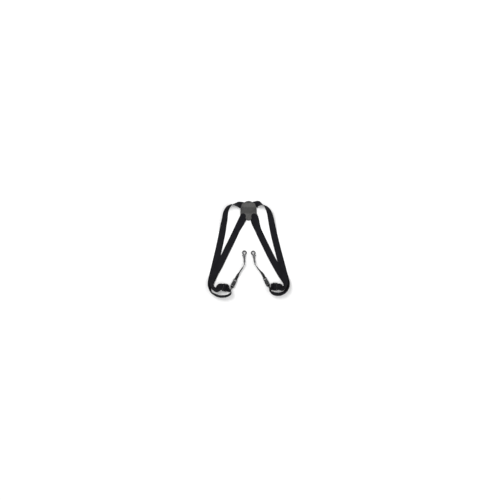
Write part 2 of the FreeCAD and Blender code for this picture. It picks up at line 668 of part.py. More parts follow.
def harness_side(name, side):
    """Every piece of one side, by node name."""
    nodes = {
        name + "_outer_strap": strap(side["outer"]),
        name + "_inner_strap": strap(side["inner"]),
        name + "_strap_tail": strap_tail(side),
        name + "_strap_end": strap_end(side),
    }
    at, along, across = slider_axes(side)
    nodes[name + "_slider"] = placed(slider_plate(), at, along, across)

    bar = V(side["ring_bar"][0], side["ring_bar"][1], 0)
    forward = heading(side["buckle_heading"])
    left = UP.cross(forward)
    link = bar + forward * RING_PITCH
    nodes[name + "_ring"] = strap_ring(bar, forward)
    nodes[name + "_link_tape"] = link_tape(link, forward, left)
    nodes[name + "_buckle_socket"] = placed(socket_body(), link, forward, left)
    nodes[name + "_buckle_plug"] = placed(plug_body(), link, forward, left)
    nodes[name + "_left_arm"] = placed(plug_arm(1), link, forward, left)
    nodes[name + "_right_arm"] = placed(plug_arm(-1), link, forward, left)
    nodes[name + "_lead_tape"] = lead_tape(side, link, forward, left)

    eye = V(side["eye"][0], side["eye"][1], EYE_Z)
    line, tab_side, _ = hook_axes(side)
    nodes[name + "_hook_eye"] = placed(hook_eye(), eye, line, tab_side)
    nodes[name + "_swivel_post"] = placed(swivel_post(), eye, line, tab_side)
    nodes[name + "_hook"] = placed(hook_body(), eye, line, tab_side)
    nodes[name + "_gate"] = placed(hook_gate(), eye, line, tab_side)
    nodes[name + "_gate_pin"] = placed(gate_pin(), eye, line, tab_side)
    nodes[name + "_gate_spring"] = placed(gate_spring(), eye, line, tab_side)
    return nodes


def harness():
    """Every piece of the harness, by node name."""
    front = UPPER_LAYER + STRAP_T + 0.1
    nodes = {
        "yoke_front_panel": yoke_panel(0.0, front, PANEL_T, FRONT_CROWN),
        "yoke_rear_panel": yoke_panel(1.0, 0.0, PANEL_T, REAR_CROWN),
        "yoke_stitching": yoke_stitching(front + PANEL_T),
    }
    nodes.update(harness_side("left", LEFT))
    nodes.update(harness_side("right", RIGHT))
    return nodes


def main():
    """Write one file per piece."""
    os.makedirs("parts", exist_ok=True)
    for name, shape in harness().items():
        box = shape.BoundBox
        print(name, shape.isValid(), len(shape.Solids), round(shape.Volume, 1),
              [round(v, 1) for v in (box.XMin, box.YMin, box.ZMin, box.XMax, box.YMax, box.ZMax)])
        shape.exportStep("parts/" + name + ".step")


main()
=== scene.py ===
"""Looks of an elastic chest harness: straps, yoke, sliders, buckles, tapes and snap hooks.

Everything is in metres, in the frame that the CAD part uses: the harness lies on z = 0 with its
yoke towards +Y. Sizes that a maker would give in millimetres are multiplied by MM.
"""
from __future__ import annotations

import logging
import math
from dataclasses import dataclass, field
from enum import Enum
from typing import Callable, Iterable, Sequence

import bmesh
import bpy
from mathutils import Matrix, Vector, noise
from mathutils.kdtree import KDTree


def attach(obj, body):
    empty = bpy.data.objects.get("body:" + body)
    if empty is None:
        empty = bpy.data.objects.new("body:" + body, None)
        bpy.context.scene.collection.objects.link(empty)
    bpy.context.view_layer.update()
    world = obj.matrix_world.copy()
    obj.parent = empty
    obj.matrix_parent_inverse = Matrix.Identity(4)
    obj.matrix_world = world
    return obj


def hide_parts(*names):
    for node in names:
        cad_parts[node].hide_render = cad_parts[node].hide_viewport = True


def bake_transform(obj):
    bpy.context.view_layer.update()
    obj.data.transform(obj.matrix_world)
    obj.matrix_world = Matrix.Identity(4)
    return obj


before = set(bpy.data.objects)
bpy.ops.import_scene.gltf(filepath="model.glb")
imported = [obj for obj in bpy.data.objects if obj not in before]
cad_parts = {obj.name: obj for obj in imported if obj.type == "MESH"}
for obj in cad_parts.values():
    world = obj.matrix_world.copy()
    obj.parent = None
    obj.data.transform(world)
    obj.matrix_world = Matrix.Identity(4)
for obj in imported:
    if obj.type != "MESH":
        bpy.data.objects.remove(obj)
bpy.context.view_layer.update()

LOG = logging.getLogger("harness")
MM = 0.001
UP = Vector((0.0, 0.0, 1.0))

Colour = tuple[float, float, float]
Point = tuple[float, float]
RoutePoint = tuple[float, float, float, float]


# ---------------------------------------------------------------- finishes

class Shader:
    """One material's node tree, wired by short calls."""

    def __init__(self, name: str, roughness: float, metallic: float = 0.0) -> None:
        """Start a material with a Principled shader of this roughness."""
        self.material = bpy.data.materials.new(name)
        self.material.use_nodes = True
        self.nodes = self.material.node_tree.nodes
        self.links = self.material.node_tree.links
        self.nodes.clear()
        self.surface = self.nodes.new("ShaderNodeBsdfPrincipled")
        output = self.nodes.new("ShaderNodeOutputMaterial")
        self.links.new(self.surface.outputs["BSDF"], output.inputs["Surface"])
        self.set("Roughness", roughness)
        self.set("Metallic", metallic)

    def set(self, socket: str, value: float | Colour) -> None:
        """Give the shader's socket a constant."""
        if isinstance(value, tuple):
            value = (*value, 1.0)
        self.surface.inputs[socket].default_value = value

    def feed(self, socket: str, source: bpy.types.NodeSocket) -> None:
        """Link a pattern to the shader's socket."""
        self.links.new(source, self.surface.inputs[socket])

    def _plug(self, node: bpy.types.Node, index: int | str, value: object) -> None:
        """Link a socket or set a constant on one of a node's inputs."""
        if isinstance(value, bpy.types.NodeSocket):
            self.links.new(value, node.inputs[index])
        else:
            node.inputs[index].default_value = value

    def place(self) -> bpy.types.NodeSocket:
        """Object coordinates, in metres."""
        return self.nodes.new("ShaderNodeTexCoord").outputs["Object"]

    def weave_place(self) -> tuple[bpy.types.NodeSocket, bpy.types.NodeSocket]:
        """Distances across and along the webbing, in metres."""
        uv = self.nodes.new("ShaderNodeUVMap")
        uv.uv_map = Webbing.UV_NAME
        split = self.nodes.new("ShaderNodeSeparateXYZ")
        self.links.new(uv.outputs["UV"], split.inputs[0])
        return split.outputs["X"], split.outputs["Y"]

    def math(self, how: str, a: object, b: object = 0.0) -> bpy.types.NodeSocket:
        """Result of a Math node."""
        node = self.nodes.new("ShaderNodeMath")
        node.operation = how
        self._plug(node, 0, a)
        self._plug(node, 1, b)
        return node.outputs[0]

    def wave(self, distance: object, pitch: float, shift: object = 0.0) -> bpy.types.NodeSocket:
        """Smooth ridges from 0 to 1 that repeat at this pitch.

        Args:
            distance: socket with the distance, in metres.
            pitch: distance from ridge to ridge, in metres.
            shift: phase, in turns.

        Returns:
            The socket with the ridges.
        """
        turns = self.math("ADD", self.math("MULTIPLY", distance, 1.0 / pitch), shift)
        sine = self.math("SINE", self.math("MULTIPLY", turns, math.tau))
        return self.math("ADD", self.math("MULTIPLY", sine, 0.5), 0.5)

    def grain(self, size: float, detail: float = 3.0, rough: float = 0.55) -> bpy.types.NodeSocket:
        """Cloudy noise from 0 to 1 with features of this size in metres."""
        node = self.nodes.new("ShaderNodeTexNoise")
        self.links.new(self.place(), node.inputs["Vector"])
        node.inputs["Scale"].default_value = 1.0 / size
        node.inputs["Detail"].default_value = detail
        node.inputs["Roughness"].default_value = rough
        return node.outputs["Fac"]

    def cells(self, size: float, edges: bool) -> bpy.types.NodeSocket:
        """Cell pattern of this size: distance to the cells' edges, or to their middles."""
        node = self.nodes.new("ShaderNodeTexVoronoi")
        node.feature = "DISTANCE_TO_EDGE" if edges else "F1"
        self.links.new(self.place(), node.inputs["Vector"])
        node.inputs["Scale"].default_value = 1.0 / size
        return node.outputs["Distance"]

    def span(self, value: object, low: float, high: float, to: Point = (0.0, 1.0)) -> bpy.types.NodeSocket:
        """Value stretched from low..high to the span of to, and held there."""
        node = self.nodes.new("ShaderNodeMapRange")
        node.interpolation_type = "SMOOTHSTEP"
        self._plug(node, 0, value)
        for index, number in enumerate((low, high, *to), start=1):
            node.inputs[index].default_value = number
        return node.outputs[0]

    def blend(self, share: object, a: object, b: object) -> bpy.types.NodeSocket:
        """Colour between a and b by share."""
        node = self.nodes.new("ShaderNodeMix")
        node.data_type = "RGBA"
        self._plug(node, "Factor", share)
        for index, colour in ((6, a), (7, b)):
            self._plug(node, index, (*colour, 1.0) if isinstance(colour, tuple) else colour)
        return node.outputs[2]

    def bump(self, height: object, depth: float, strength: float = 1.0) -> None:
        """Raise the surface by height, which is in units of depth."""
        node = self.nodes.new("ShaderNodeBump")
        node.inputs["Strength"].default_value = strength
        node.inputs["Distance"].default_value = depth
        self._plug(node, "Height", height)
        self.feed("Normal", node.outputs["Normal"])

    def edges(self, width: float) -> bpy.types.NodeSocket:
        """How worn an edge would be here: 1 on a sharp outer edge, 0 on a flat face."""
        node = self.nodes.new("ShaderNodeNewGeometry")
        return self.span(node.outputs["Pointiness"], 0.5 + width, 0.5 + 3 * width)


@dataclass(frozen=True)
class WovenFinish:
    """Webbing with warp ribs along it and weft lines across it, from its own UV map; its colour has painted
    highlights on the weave's crests and painted shade in its grooves, over cloudy fading and dust.
    """

    slot: str
    dark: Colour
    light: Colour
    rib: float
    weft: float
    depth: float
    roughness: float
    sheen: float

    def material(self) -> bpy.types.Material:
        """Make the material."""
        shader = Shader(self.slot, self.roughness)
        across, along = shader.weave_place()
        ribs = shader.wave(across, self.rib)
        weft = shader.wave(along, self.weft, shader.math("MULTIPLY", shader.math("ROUND", shader.math(
            "MULTIPLY", across, 1.0 / self.rib)), 0.5))
        cloth = shader.math("MULTIPLY", ribs, shader.math("ADD", shader.math("MULTIPLY", weft, 0.55), 0.45))
        fuzz = shader.grain(0.4 * MM, 2.0)
        cloud = shader.span(shader.grain(26 * MM, 4.0), 0.38, 0.66)
        height = shader.math("ADD", cloth, shader.math("MULTIPLY", fuzz, 0.35))
        # painted highlight: the colour is lighter where the weave stands high and darker in its grooves
        # (painted shade), with fine fuzz and cloudy fading added
        painted_crest_light_and_tone = shader.math("MULTIPLY", shader.math("ADD", cloth, fuzz), 0.42)
        painted_crest_light_and_tone = shader.math("ADD", painted_crest_light_and_tone, shader.math("MULTIPLY", cloud, 0.22))
        dust = shader.span(shader.grain(1.1 * MM, 6.0, 0.7), 0.66, 0.8, (0.0, 0.35))
        shader.feed("Base Color", shader.blend(shader.math("ADD", painted_crest_light_and_tone, dust), self.dark, self.light))
        shader.set("Sheen Weight", self.sheen)
        shader.set("Sheen Roughness", 0.5)
        shader.set("Specular IOR Level", 0.12)
        shader.bump(height, self.depth)
        return shader.material


@dataclass(frozen=True)
class LeatherFinish:
    """Worn, pebbled charcoal leather, with painted shade between its pebbles and along its creases, and
    darker in a band across the panel between two heights.
    """

    slot: str = "yoke_leather"
    dark: Colour = (0.015, 0.015, 0.0145)
    light: Colour = (0.076, 0.0745, 0.071)
    pebble: float = 1.15 * MM
    band_heights: Point = (137 * MM, 161 * MM)

    def material(self) -> bpy.types.Material:
        """Make the material."""
        shader = Shader(self.slot, 0.55)
        pebbles = shader.span(shader.cells(self.pebble, True), 0.0, 0.22)
        creases = shader.span(shader.cells(7.5 * MM, True), 0.0, 0.05)
        pores = shader.grain(0.25 * MM, 3.0)
        split = shader.nodes.new("ShaderNodeSeparateXYZ")
        shader.links.new(shader.place(), split.inputs[0])
        wander = shader.math("MULTIPLY", shader.grain(14 * MM, 3.0), 9 * MM)
        upward = shader.math("ADD", split.outputs["Y"], shader.math("SUBTRACT", wander, 4.5 * MM))
        # the colour is made darker in a band between these two heights, with a wandering edge
        low, high = self.band_heights
        above = shader.span(upward, low - 4 * MM, low + 5 * MM)
        below = shader.span(upward, high - 3 * MM, high + 2 * MM, (1.0, 0.0))
        darker_band = shader.math("MULTIPLY", above, below)
        mottle = shader.span(shader.grain(6 * MM, 5.0, 0.65), 0.3, 0.7)
        spots = shader.math("MULTIPLY", mottle, 0.35)
        # painted shade: the colour is darker at the pebbles' edges and along the creases, where the grain
        # sinks, and lighter on the pebbles' tops (painted highlight)
        tone = shader.math("ADD", spots, shader.math("MULTIPLY", pebbles, 0.35))
        tone = shader.math("ADD", tone, shader.math("MULTIPLY", creases, 0.3))
        tone = shader.math("SUBTRACT", tone, shader.math("MULTIPLY", darker_band, 0.5))
        shader.feed("Base Color", shader.blend(shader.span(tone, -0.15, 1.0), self.dark, self.light))
        shader.feed("Roughness", shader.span(mottle, 0.0, 1.0, (0.46, 0.64)))
        bulges = shader.math("MULTIPLY", pebbles, 0.8)
        relief = shader.math("ADD", bulges, shader.math("MULTIPLY", creases, 0.7))
        shader.bump(shader.math("ADD", relief, shader.math("MULTIPLY", pores, 0.3)), 0.16 * MM)
        return shader.material


@dataclass(frozen=True)
class MouldedFinish:
    """Satin nylon with a fine spark-eroded grain, scuffed paler along its edges."""

    slot: str = "black_nylon"
    body: Colour = (0.009, 0.009, 0.010)
    scuff: Colour = (0.05, 0.05, 0.052)

    def material(self) -> bpy.types.Material:
        """Make the material."""
        shader = Shader(self.slot, 0.4)
        rub = shader.span(shader.grain(3 * MM, 6.0, 0.7), 0.45, 0.75)
        uneven = shader.math("ADD", shader.math("MULTIPLY", rub, 0.7), 0.3)
        worn = shader.math("MULTIPLY", shader.edges(0.02), uneven)
        haze = shader.math("MULTIPLY", rub, 0.16)
        shader.feed("Base Color", shader.blend(shader.math("ADD", worn, haze), self.body, self.scuff))
        shader.feed("Roughness", shader.span(rub, 0.0, 1.0, (0.34, 0.5)))
        shader.bump(shader.grain(0.16 * MM, 2.0), 0.03 * MM)
        return shader.material


@dataclass(frozen=True)
class MetalFinish:
    """Plated or plain metal with fine scratches, brighter where its edges have worn."""

    slot: str
    face: Colour
    edge: Colour
    roughness: float

    def material(self) -> bpy.types.Material:
        """Make the material."""
        shader = Shader(self.slot, self.roughness, 1.0)
        patina = shader.span(shader.grain(2.2 * MM, 6.0, 0.7), 0.35, 0.7)
        uneven = shader.math("ADD", shader.math("MULTIPLY", patina, 0.6), 0.4)
        worn = shader.math("MULTIPLY", shader.edges(0.012), uneven)
        toned = shader.math("ADD", worn, shader.math("MULTIPLY", patina, 0.22))
        shader.feed("Base Color", shader.blend(toned, self.face, self.edge))
        rough = (self.roughness - 0.07, self.roughness + 0.12)
        shader.feed("Roughness", shader.span(patina, 0.0, 1.0, rough))
        scratches = shader.span(shader.cells(1.6 * MM, True), 0.0, 0.02)
        shader.bump(shader.math("ADD", scratches, shader.grain(0.3 * MM)), 0.012 * MM)
        return shader.material


@dataclass(frozen=True)
class ThreadFinish:
    """Waxed thread with its plies just showing."""

    slot: str = "thread"
    dark: Colour = (0.012, 0.012, 0.012)
    light: Colour = (0.06, 0.059, 0.056)

    def material(self) -> bpy.types.Material:
        """Make the material."""
        shader = Shader(self.slot, 0.5)
        plies = shader.grain(0.3 * MM, 3.0)
        shader.feed("Base Color", shader.blend(plies, self.dark, self.light))
        shader.set("Sheen Weight", 0.1)
        shader.bump(plies, 0.06 * MM)
        return shader.material


class Finish(Enum):
    """The finishes that the harness is made in, by material slot."""

    ELASTIC = WovenFinish("black_elastic", (0.003, 0.003, 0.0042), (0.013, 0.013, 0.0165),
                          1.25 * MM, 1.0 * MM, 0.14 * MM, 0.92, 0.03)
    TAPE = WovenFinish("tape", (0.005, 0.005, 0.0055), (0.026, 0.026, 0.027),
                       0.8 * MM, 1.1 * MM, 0.12 * MM, 0.85, 0.03)
    LEATHER = LeatherFinish()
    BACKING = LeatherFinish("yoke_backing", (0.004, 0.004, 0.004), (0.012, 0.0118, 0.0115))
    NYLON = MouldedFinish()
    THREAD = ThreadFinish()
    GUNMETAL = MetalFinish("gunmetal", (0.028, 0.028, 0.03), (0.14, 0.14, 0.145), 0.42)
    STEEL = MetalFinish("bright_steel", (0.46, 0.46, 0.47), (0.72, 0.72, 0.72), 0.24)

    @property
    def slot(self) -> str:
        """Material slot that the finish fills."""
        return self.value.slot


class FinishRack:
    """Makes each finish once and puts it on pieces and on CAD nodes."""

    def __init__(self) -> None:
        """Make every finish."""
        self.made = {finish: finish.value.material() for finish in Finish}

    def dress(self, piece: bpy.types.Object, finish: Finish) -> None:
        """Put a finish on a new piece."""
        piece.data.materials.clear()
        piece.data.materials.append(self.made[finish])
        finish.slot

    def dress_node(self, name: str, finish: Finish) -> None:
        """Put a finish on a CAD node, whose mesh stays as it is."""
        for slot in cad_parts[name].material_slots:
            slot.material = self.made[finish]


# ---------------------------------------------------------------- making meshes

def smoothstep(value: float) -> float:
    """Smooth rise from 0 to 1, held outside."""
    held = min(max(value, 0.0), 1.0)
    return held * held * (3 - 2 * held)


def finished(mesh: bmesh.types.BMesh, name: str, smooth_angle: float = 40.0) -> bpy.types.Object:
    """Turn a bmesh into an object in the scene.

    Args:
        mesh: the bmesh, which is freed.
        name: the object's name.
        smooth_angle: edges sharper than this, in degrees, stay sharp.

    Returns:
        The object, at the origin.
    """
    bmesh.ops.recalc_face_normals(mesh, faces=mesh.faces)
    for face in mesh.faces:
        face.smooth = True
    for edge in mesh.edges:
        edge.smooth = not edge.is_manifold or edge.calc_face_angle(0.0) < math.radians(smooth_angle)
    data = bpy.data.meshes.new(name)
    mesh.to_mesh(data)
    mesh.free()
    piece = bpy.data.objects.new(name, data)
    bpy.context.scene.collection.objects.link(piece)
    return piece


def bevelled(mesh: bmesh.types.BMesh, edges: Iterable[bmesh.types.BMEdge], offset: float,
             segments: int = 3) -> None:
    """Round these edges."""
    bmesh.ops.bevel(mesh, geom=list(edges), offset=offset, offset_type="OFFSET", segments=segments,
                    profile=0.5, affect="EDGES", material=-1, clamp_overlap=True)


def sharp_edges(mesh: bmesh.types.BMesh, angle: float = 50.0) -> list[bmesh.types.BMEdge]:
    """Edges where two faces meet at more than this angle, in degrees."""
    limit = math.radians(angle)
    return [e for e in mesh.edges if e.is_manifold and e.calc_face_angle(0.0) > limit]


@dataclass(frozen=True)
class Station:
    """One place along a webbing: its middle, its axes and how far along it lies."""

    centre: Vector
    across: Vector
    face: Vector
    along: Vector
    distance: float

    def point(self, across: float, height: float) -> Vector:
        """Point of the section at this station."""
        return self.centre + self.across * across + self.face * height


class Line:
    """Smooth line through knots of x, y, z and tilt, in metres and radians."""

    def __init__(self, knots: Sequence[tuple[Vector, float]], start: float = 0.0) -> None:
        """Keep the knots, and the distance at which the line starts."""
        self.knots = knots
        self.start = start
        self.at = [0.0]
        for (a, _), (b, _) in zip(knots, knots[1:]):
            self.at.append(self.at[-1] + (b - a).length)

    @property
    def length(self) -> float:
        """Length of the line, from knot to knot."""
        return self.at[-1]

    def _smooth(self, value: Callable[[int], float | Vector], t: float) -> float | Vector:
        """Value at t on a curve through the knots' values."""
        at = self.at
        k = max(i for i in range(len(at) - 1) if at[i] <= t or i == 0)
        span = at[k + 1] - at[k]
        f = (t - at[k]) / span

        def slope(i: int) -> float | Vector:
            """Slope at knot i, from its neighbours."""
            low = max(i - 1, 0)
            high = min(i + 1, len(at) - 1)
            return (value(high) - value(low)) / (at[high] - at[low])

        lead = value(k) * (2 * f**3 - 3 * f**2 + 1) + value(k + 1) * (3 * f**2 - 2 * f**3)
        return lead + slope(k) * (span * (f**3 - 2 * f**2 + f)) + slope(k + 1) * (span * (f**3 - f**2))

    def place(self, t: float) -> tuple[Vector, float]:
        """Middle and tilt at a distance along the line."""
        centre = self._smooth(lambda i: self.knots[i][0], t)
        return centre, self._smooth(lambda i: self.knots[i][1], t)

    def stations(self, step: float) -> list[Station]:
        """Stations along the line, about a step apart."""
        count = max(8, round(self.length / step))
        return [self.station(self.length * i / count) for i in range(count + 1)]

    def station(self, t: float) -> Station:
        """Station at a distance along the line."""
        nudge = 0.02 * MM
        centre, tilt = self.place(t)
        along = self.place(min(t + nudge, self.length))[0] - self.place(max(t - nudge, 0.0))[0]
        along.normalize()
        side = UP.cross(along).normalized()
        across = side * math.cos(tilt) + along.cross(side) * math.sin(tilt)
        return Station(centre, across, along.cross(across).normalized(), along, self.start + t)


class Route(Line):
    """Line of a webbing that lies on the floor, from points of x, y, tilt and lift.

    Tilt turns the webbing about its own line, from flat at 0 through standing on edge at 90. Lift
    is how high its lower edge stands above the floor.
    """

    def __init__(self, points: Sequence[RoutePoint], width: float, thick: float, start: float = 0.0) -> None:
        """Keep the points, in millimetres and degrees, and the webbing's section."""
        self.points = points
        self.width = width
        self.thick = thick
        flat = [(Vector((x * MM, y * MM, 0.0)), math.radians(tilt)) for x, y, tilt, _ in points]
        super().__init__(flat, start)

    def _level(self, column: int, t: float) -> float:
        """Tilt or lift at a distance, level wherever it peaks."""
        at = self.at
        values = [p[column] for p in self.points]
        k = max(i for i in range(len(at) - 1) if at[i] <= t or i == 0)
        span = at[k + 1] - at[k]
        f = (t - at[k]) / span

        def slope(i: int) -> float:
            """Slope at knot i, from its neighbours."""
            low = max(i - 1, 0)
            high = min(i + 1, len(at) - 1)
            if (values[i] - values[low]) * (values[high] - values[i]) <= 0:
                return 0.0
            return (values[high] - values[low]) / (at[high] - at[low])

        lead = values[k] * (2 * f**3 - 3 * f**2 + 1) + values[k + 1] * (3 * f**2 - 2 * f**3)
        return lead + slope(k) * span * (f**3 - 2 * f**2 + f) + slope(k + 1) * span * (f**3 - f**2)

    def place(self, t: float) -> tuple[Vector, float]:
        """Middle and tilt at a distance along the route."""
        centre = self._smooth(lambda i: self.knots[i][0], t)
        tilt = math.radians(self._level(2, t))
        height = self.width / 2 * abs(math.sin(tilt)) + self.thick / 2 * abs(math.cos(tilt))
        return Vector((centre.x, centre.y, height + self._level(3, t) * MM)), tilt


@dataclass(frozen=True)
class Webbing:
    """A woven strap or tape: its section, and how it is drawn along stations."""

    width: float
    thick: float
    ribs: int
    rib_depth: float
    ripple: float = 0.0

    UV_NAME = "weave"

    def section(self) -> list[Point]:
        """Outline of the section: two ribbed faces between rounded selvedges."""
        half = self.thick / 2
        flat = self.width / 2 - half
        columns = self.ribs * 2 + 1
        face = []
        for i in range(columns):
            depth = self.rib_depth if i % 2 else 0.0
            face.append((-flat + 2 * flat * i / (columns - 1), half - depth))
        outline = list(face)
        for angle in (55, 20, -20, -55):
            turn = math.radians(angle)
            outline.append((flat + half * math.cos(turn), half * math.sin(turn)))
        outline += [(a, -h) for a, h in reversed(face)]
        for angle in (235, 200, 160, 125):
            turn = math.radians(angle)
            outline.append((-flat + half * math.cos(turn), half * math.sin(turn)))
        return outline

    def _sway(self, station: Station, across: float, calm: Callable[[Vector], float] | None) -> Point:
        """Small uneven lie of the cloth at a place of its section."""
        if not self.ripple:
            return 0.0, 0.0
        share = self.ripple * (calm(station.centre) if calm else 1.0)
        drift = noise.noise(station.centre * 22.0)
        cup = 0.5 + 0.5 * noise.noise(station.centre * 14.0 + UP * 3)
        lift = share * cup * (1 - (2 * across / self.width) ** 2)
        return share * 0.8 * drift * 2 * across / self.width, lift

    def draw(self, name: str, stations: Sequence[Station], calm: Callable[[Vector], float] | None = None,
             spread: Callable[[Vector], float] | None = None) -> bpy.types.Object:
        """Draw the webbing along stations.

        Args:
            name: the piece's name.
            stations: places along it.
            calm: share of the ripple at a point, where it isn't 1 everywhere.
            spread: how much wider it lies at a point, where it isn't the same everywhere.

        Returns:
            The piece, closed at both ends, with its weave's UV map.
        """
        outline = self.section()
        columns = len(outline)
        rows = len(stations) - 1
        mesh = bmesh.new()
        bmesh.ops.create_grid(mesh, x_segments=columns, y_segments=rows, size=1.0)
        across_of = mesh.verts.layers.float.new("across")
        along_of = mesh.verts.layers.float.new("along")
        for vert in mesh.verts:
            column = round((vert.co.x + 1) / 2 * columns) % columns
            station = stations[round((vert.co.y + 1) / 2 * rows)]
            across, height = outline[column]
            widen, lift = self._sway(station, across, calm)
            vert[across_of] = across
            vert[along_of] = station.distance
            wider = spread(station.centre) if spread else 1.0
            vert.co = station.point(across * wider + widen, height + lift)
        bmesh.ops.remove_doubles(mesh, verts=mesh.verts, dist=0.001 * MM)
        bmesh.ops.holes_fill(mesh, edges=[e for e in mesh.edges if e.is_boundary], sides=0)
        weave = mesh.loops.layers.uv.new(self.UV_NAME)
        for face in mesh.faces:
            for loop in face.loops:
                loop[weave].uv = (loop.vert[across_of], loop.vert[along_of])
        return finished(mesh, name, 60.0)


class BarBender:
    """A round bar drawn out and bent from its section, one stretch at a time."""

    def __init__(self, start: Vector, along: Vector, radius: float, sides: int = 14) -> None:
        """Start with the section at a point, square to the first stretch."""
        self.mesh = bmesh.new()
        turn = along.to_track_quat("Z", "X").to_matrix().to_4x4()
        bmesh.ops.create_circle(self.mesh, cap_ends=False, radius=radius, segments=sides,
                                matrix=Matrix.Translation(start) @ turn)
        self.tip = list(self.mesh.edges)

    def draw(self, offset: Vector) -> BarBender:
        """Draw the bar out in a straight line."""
        grown = bmesh.ops.extrude_edge_only(self.mesh, edges=self.tip)["geom"]
        moved = [g for g in grown if isinstance(g, bmesh.types.BMVert)]
        bmesh.ops.translate(self.mesh, verts=moved, vec=offset)
        self.tip = [g for g in grown if isinstance(g, bmesh.types.BMEdge)]
        return self

    def bend(self, centre: Vector, axis: Vector, angle: float, steps: int = 6) -> BarBender:
        """Bend the bar round a centre by an angle in degrees."""
        geom = self.tip + list({v for e in self.tip for v in e.verts})
        spun = bmesh.ops.spin(self.mesh, geom=geom, cent=centre, axis=axis, dvec=(0, 0, 0),
                              angle=math.radians(angle), steps=steps, use_merge=False,
                              use_normal_flip=False, use_duplicate=False)
        self.tip = [g for g in spun["geom_last"] if isinstance(g, bmesh.types.BMEdge)]
        return self

    def close(self, name: str, capped: bool) -> bpy.types.Object:
        """Join the bar's two ends, or cap them, and finish it."""
        bmesh.ops.remove_doubles(self.mesh, verts=self.mesh.verts, dist=0.01 * MM)
        if capped:
            bmesh.ops.holes_fill(self.mesh, edges=[e for e in self.mesh.edges if e.is_boundary], sides=0)
            rims = sharp_edges(self.mesh)
            bevelled(self.mesh, rims, 0.2 * MM, 2)
        return finished(self.mesh, name)


def slotted_plate(xs: Sequence[float], ys: Sequence[float], slots: Iterable[tuple[int, int]],
                  z: Point, corner: float, rim: float) -> bmesh.types.BMesh:
    """Flat plate with rectangular slots and rounded edges.

    Args:
        xs: where the plate's columns start and end.
        ys: where its rows start and end.
        slots: the cells that are left open, by column and row.
        z: bottom and top.
        corner: radius of the upright edges.
        rim: radius of the rims.

    Returns:
        The plate's bmesh.
    """
    mesh = bmesh.new()
    columns, rows = len(xs) - 1, len(ys) - 1
    bmesh.ops.create_grid(mesh, x_segments=columns, y_segments=rows, size=1.0)
    open_cells = []
    for face in mesh.faces:
        middle = face.calc_center_median()
        if (int((middle.x + 1) / 2 * columns), int((middle.y + 1) / 2 * rows)) in set(slots):
            open_cells.append(face)
    bmesh.ops.delete(mesh, geom=open_cells, context="FACES")
    for vert in mesh.verts:
        column, row = round((vert.co.x + 1) / 2 * columns), round((vert.co.y + 1) / 2 * rows)
        vert.co = (xs[column], ys[row], z[0])
    grown = bmesh.ops.extrude_face_region(mesh, geom=list(mesh.faces))["geom"]
    top = [g for g in grown if isinstance(g, bmesh.types.BMVert)]
    bmesh.ops.translate(mesh, verts=top, vec=(0, 0, z[1] - z[0]))
    bmesh.ops.recalc_face_normals(mesh, faces=mesh.faces)
    upright = [e for e in sharp_edges(mesh) if abs(e.verts[0].co.z - e.verts[1].co.z) > 1e-6]
    bevelled(mesh, upright, corner, 4)
    bevelled(mesh, sharp_edges(mesh), rim, 3)
    return mesh


def stitch_into(mesh: bmesh.types.BMesh, at: Vector, along: Vector, normal: Vector,
                length: float, gauge: float) -> None:
    """Add one stitch of thread, a slim rounded grain, to a bmesh."""
    side = normal.cross(along).normalized()
    turn = Matrix((along, side, normal)).transposed().to_4x4()
    size = Matrix.Diagonal((length / 2, gauge / 2, gauge / 2, 1.0))
    bmesh.ops.create_uvsphere(mesh, u_segments=8, v_segments=6, radius=1.0,
                              matrix=Matrix.Translation(at) @ turn @ size)


# ---------------------------------------------------------------- the harness's measures

STRAP = Webbing(width=25 * MM, thick=1.5 * MM, ribs=14, rib_depth=0.07 * MM, ripple=0.2 * MM)
TAPE = Webbing(width=10 * MM, thick=1.4 * MM, ribs=7, rib_depth=0.05 * MM)
TAPE_PLY = Webbing(width=10 * MM, thick=0.7 * MM, ribs=7, rib_depth=0.04 * MM)
STRAP_LIE = 1.6
TAPE_LIE = 1.5
LOWER = 1.6
UPPER = 3.3
CROSSING = Vector((0.0, 150 * MM, 0.0))
STRAP_STEP = 3.0 * MM
FINE_STEP = 0.9 * MM


@dataclass(frozen=True)
class SidePlan:
    """Where one side's straps, slider, ring, buckle and hook lie, in millimetres and degrees."""

    name: str
    hand: int
    slack: float
    outer: tuple[RoutePoint, ...]
    strap_end: tuple[RoutePoint, ...]
    inner: tuple[RoutePoint, ...]
    slider: Point
    slider_heading: float
    ring_bar: Point
    buckle_heading: float
    lead: tuple[RoutePoint, ...]
    eye: Point
    hook_heading: float

    def node(self, piece: str) -> str:
        """Name of this side's CAD node or body."""
        return f"{self.name}_{piece}"


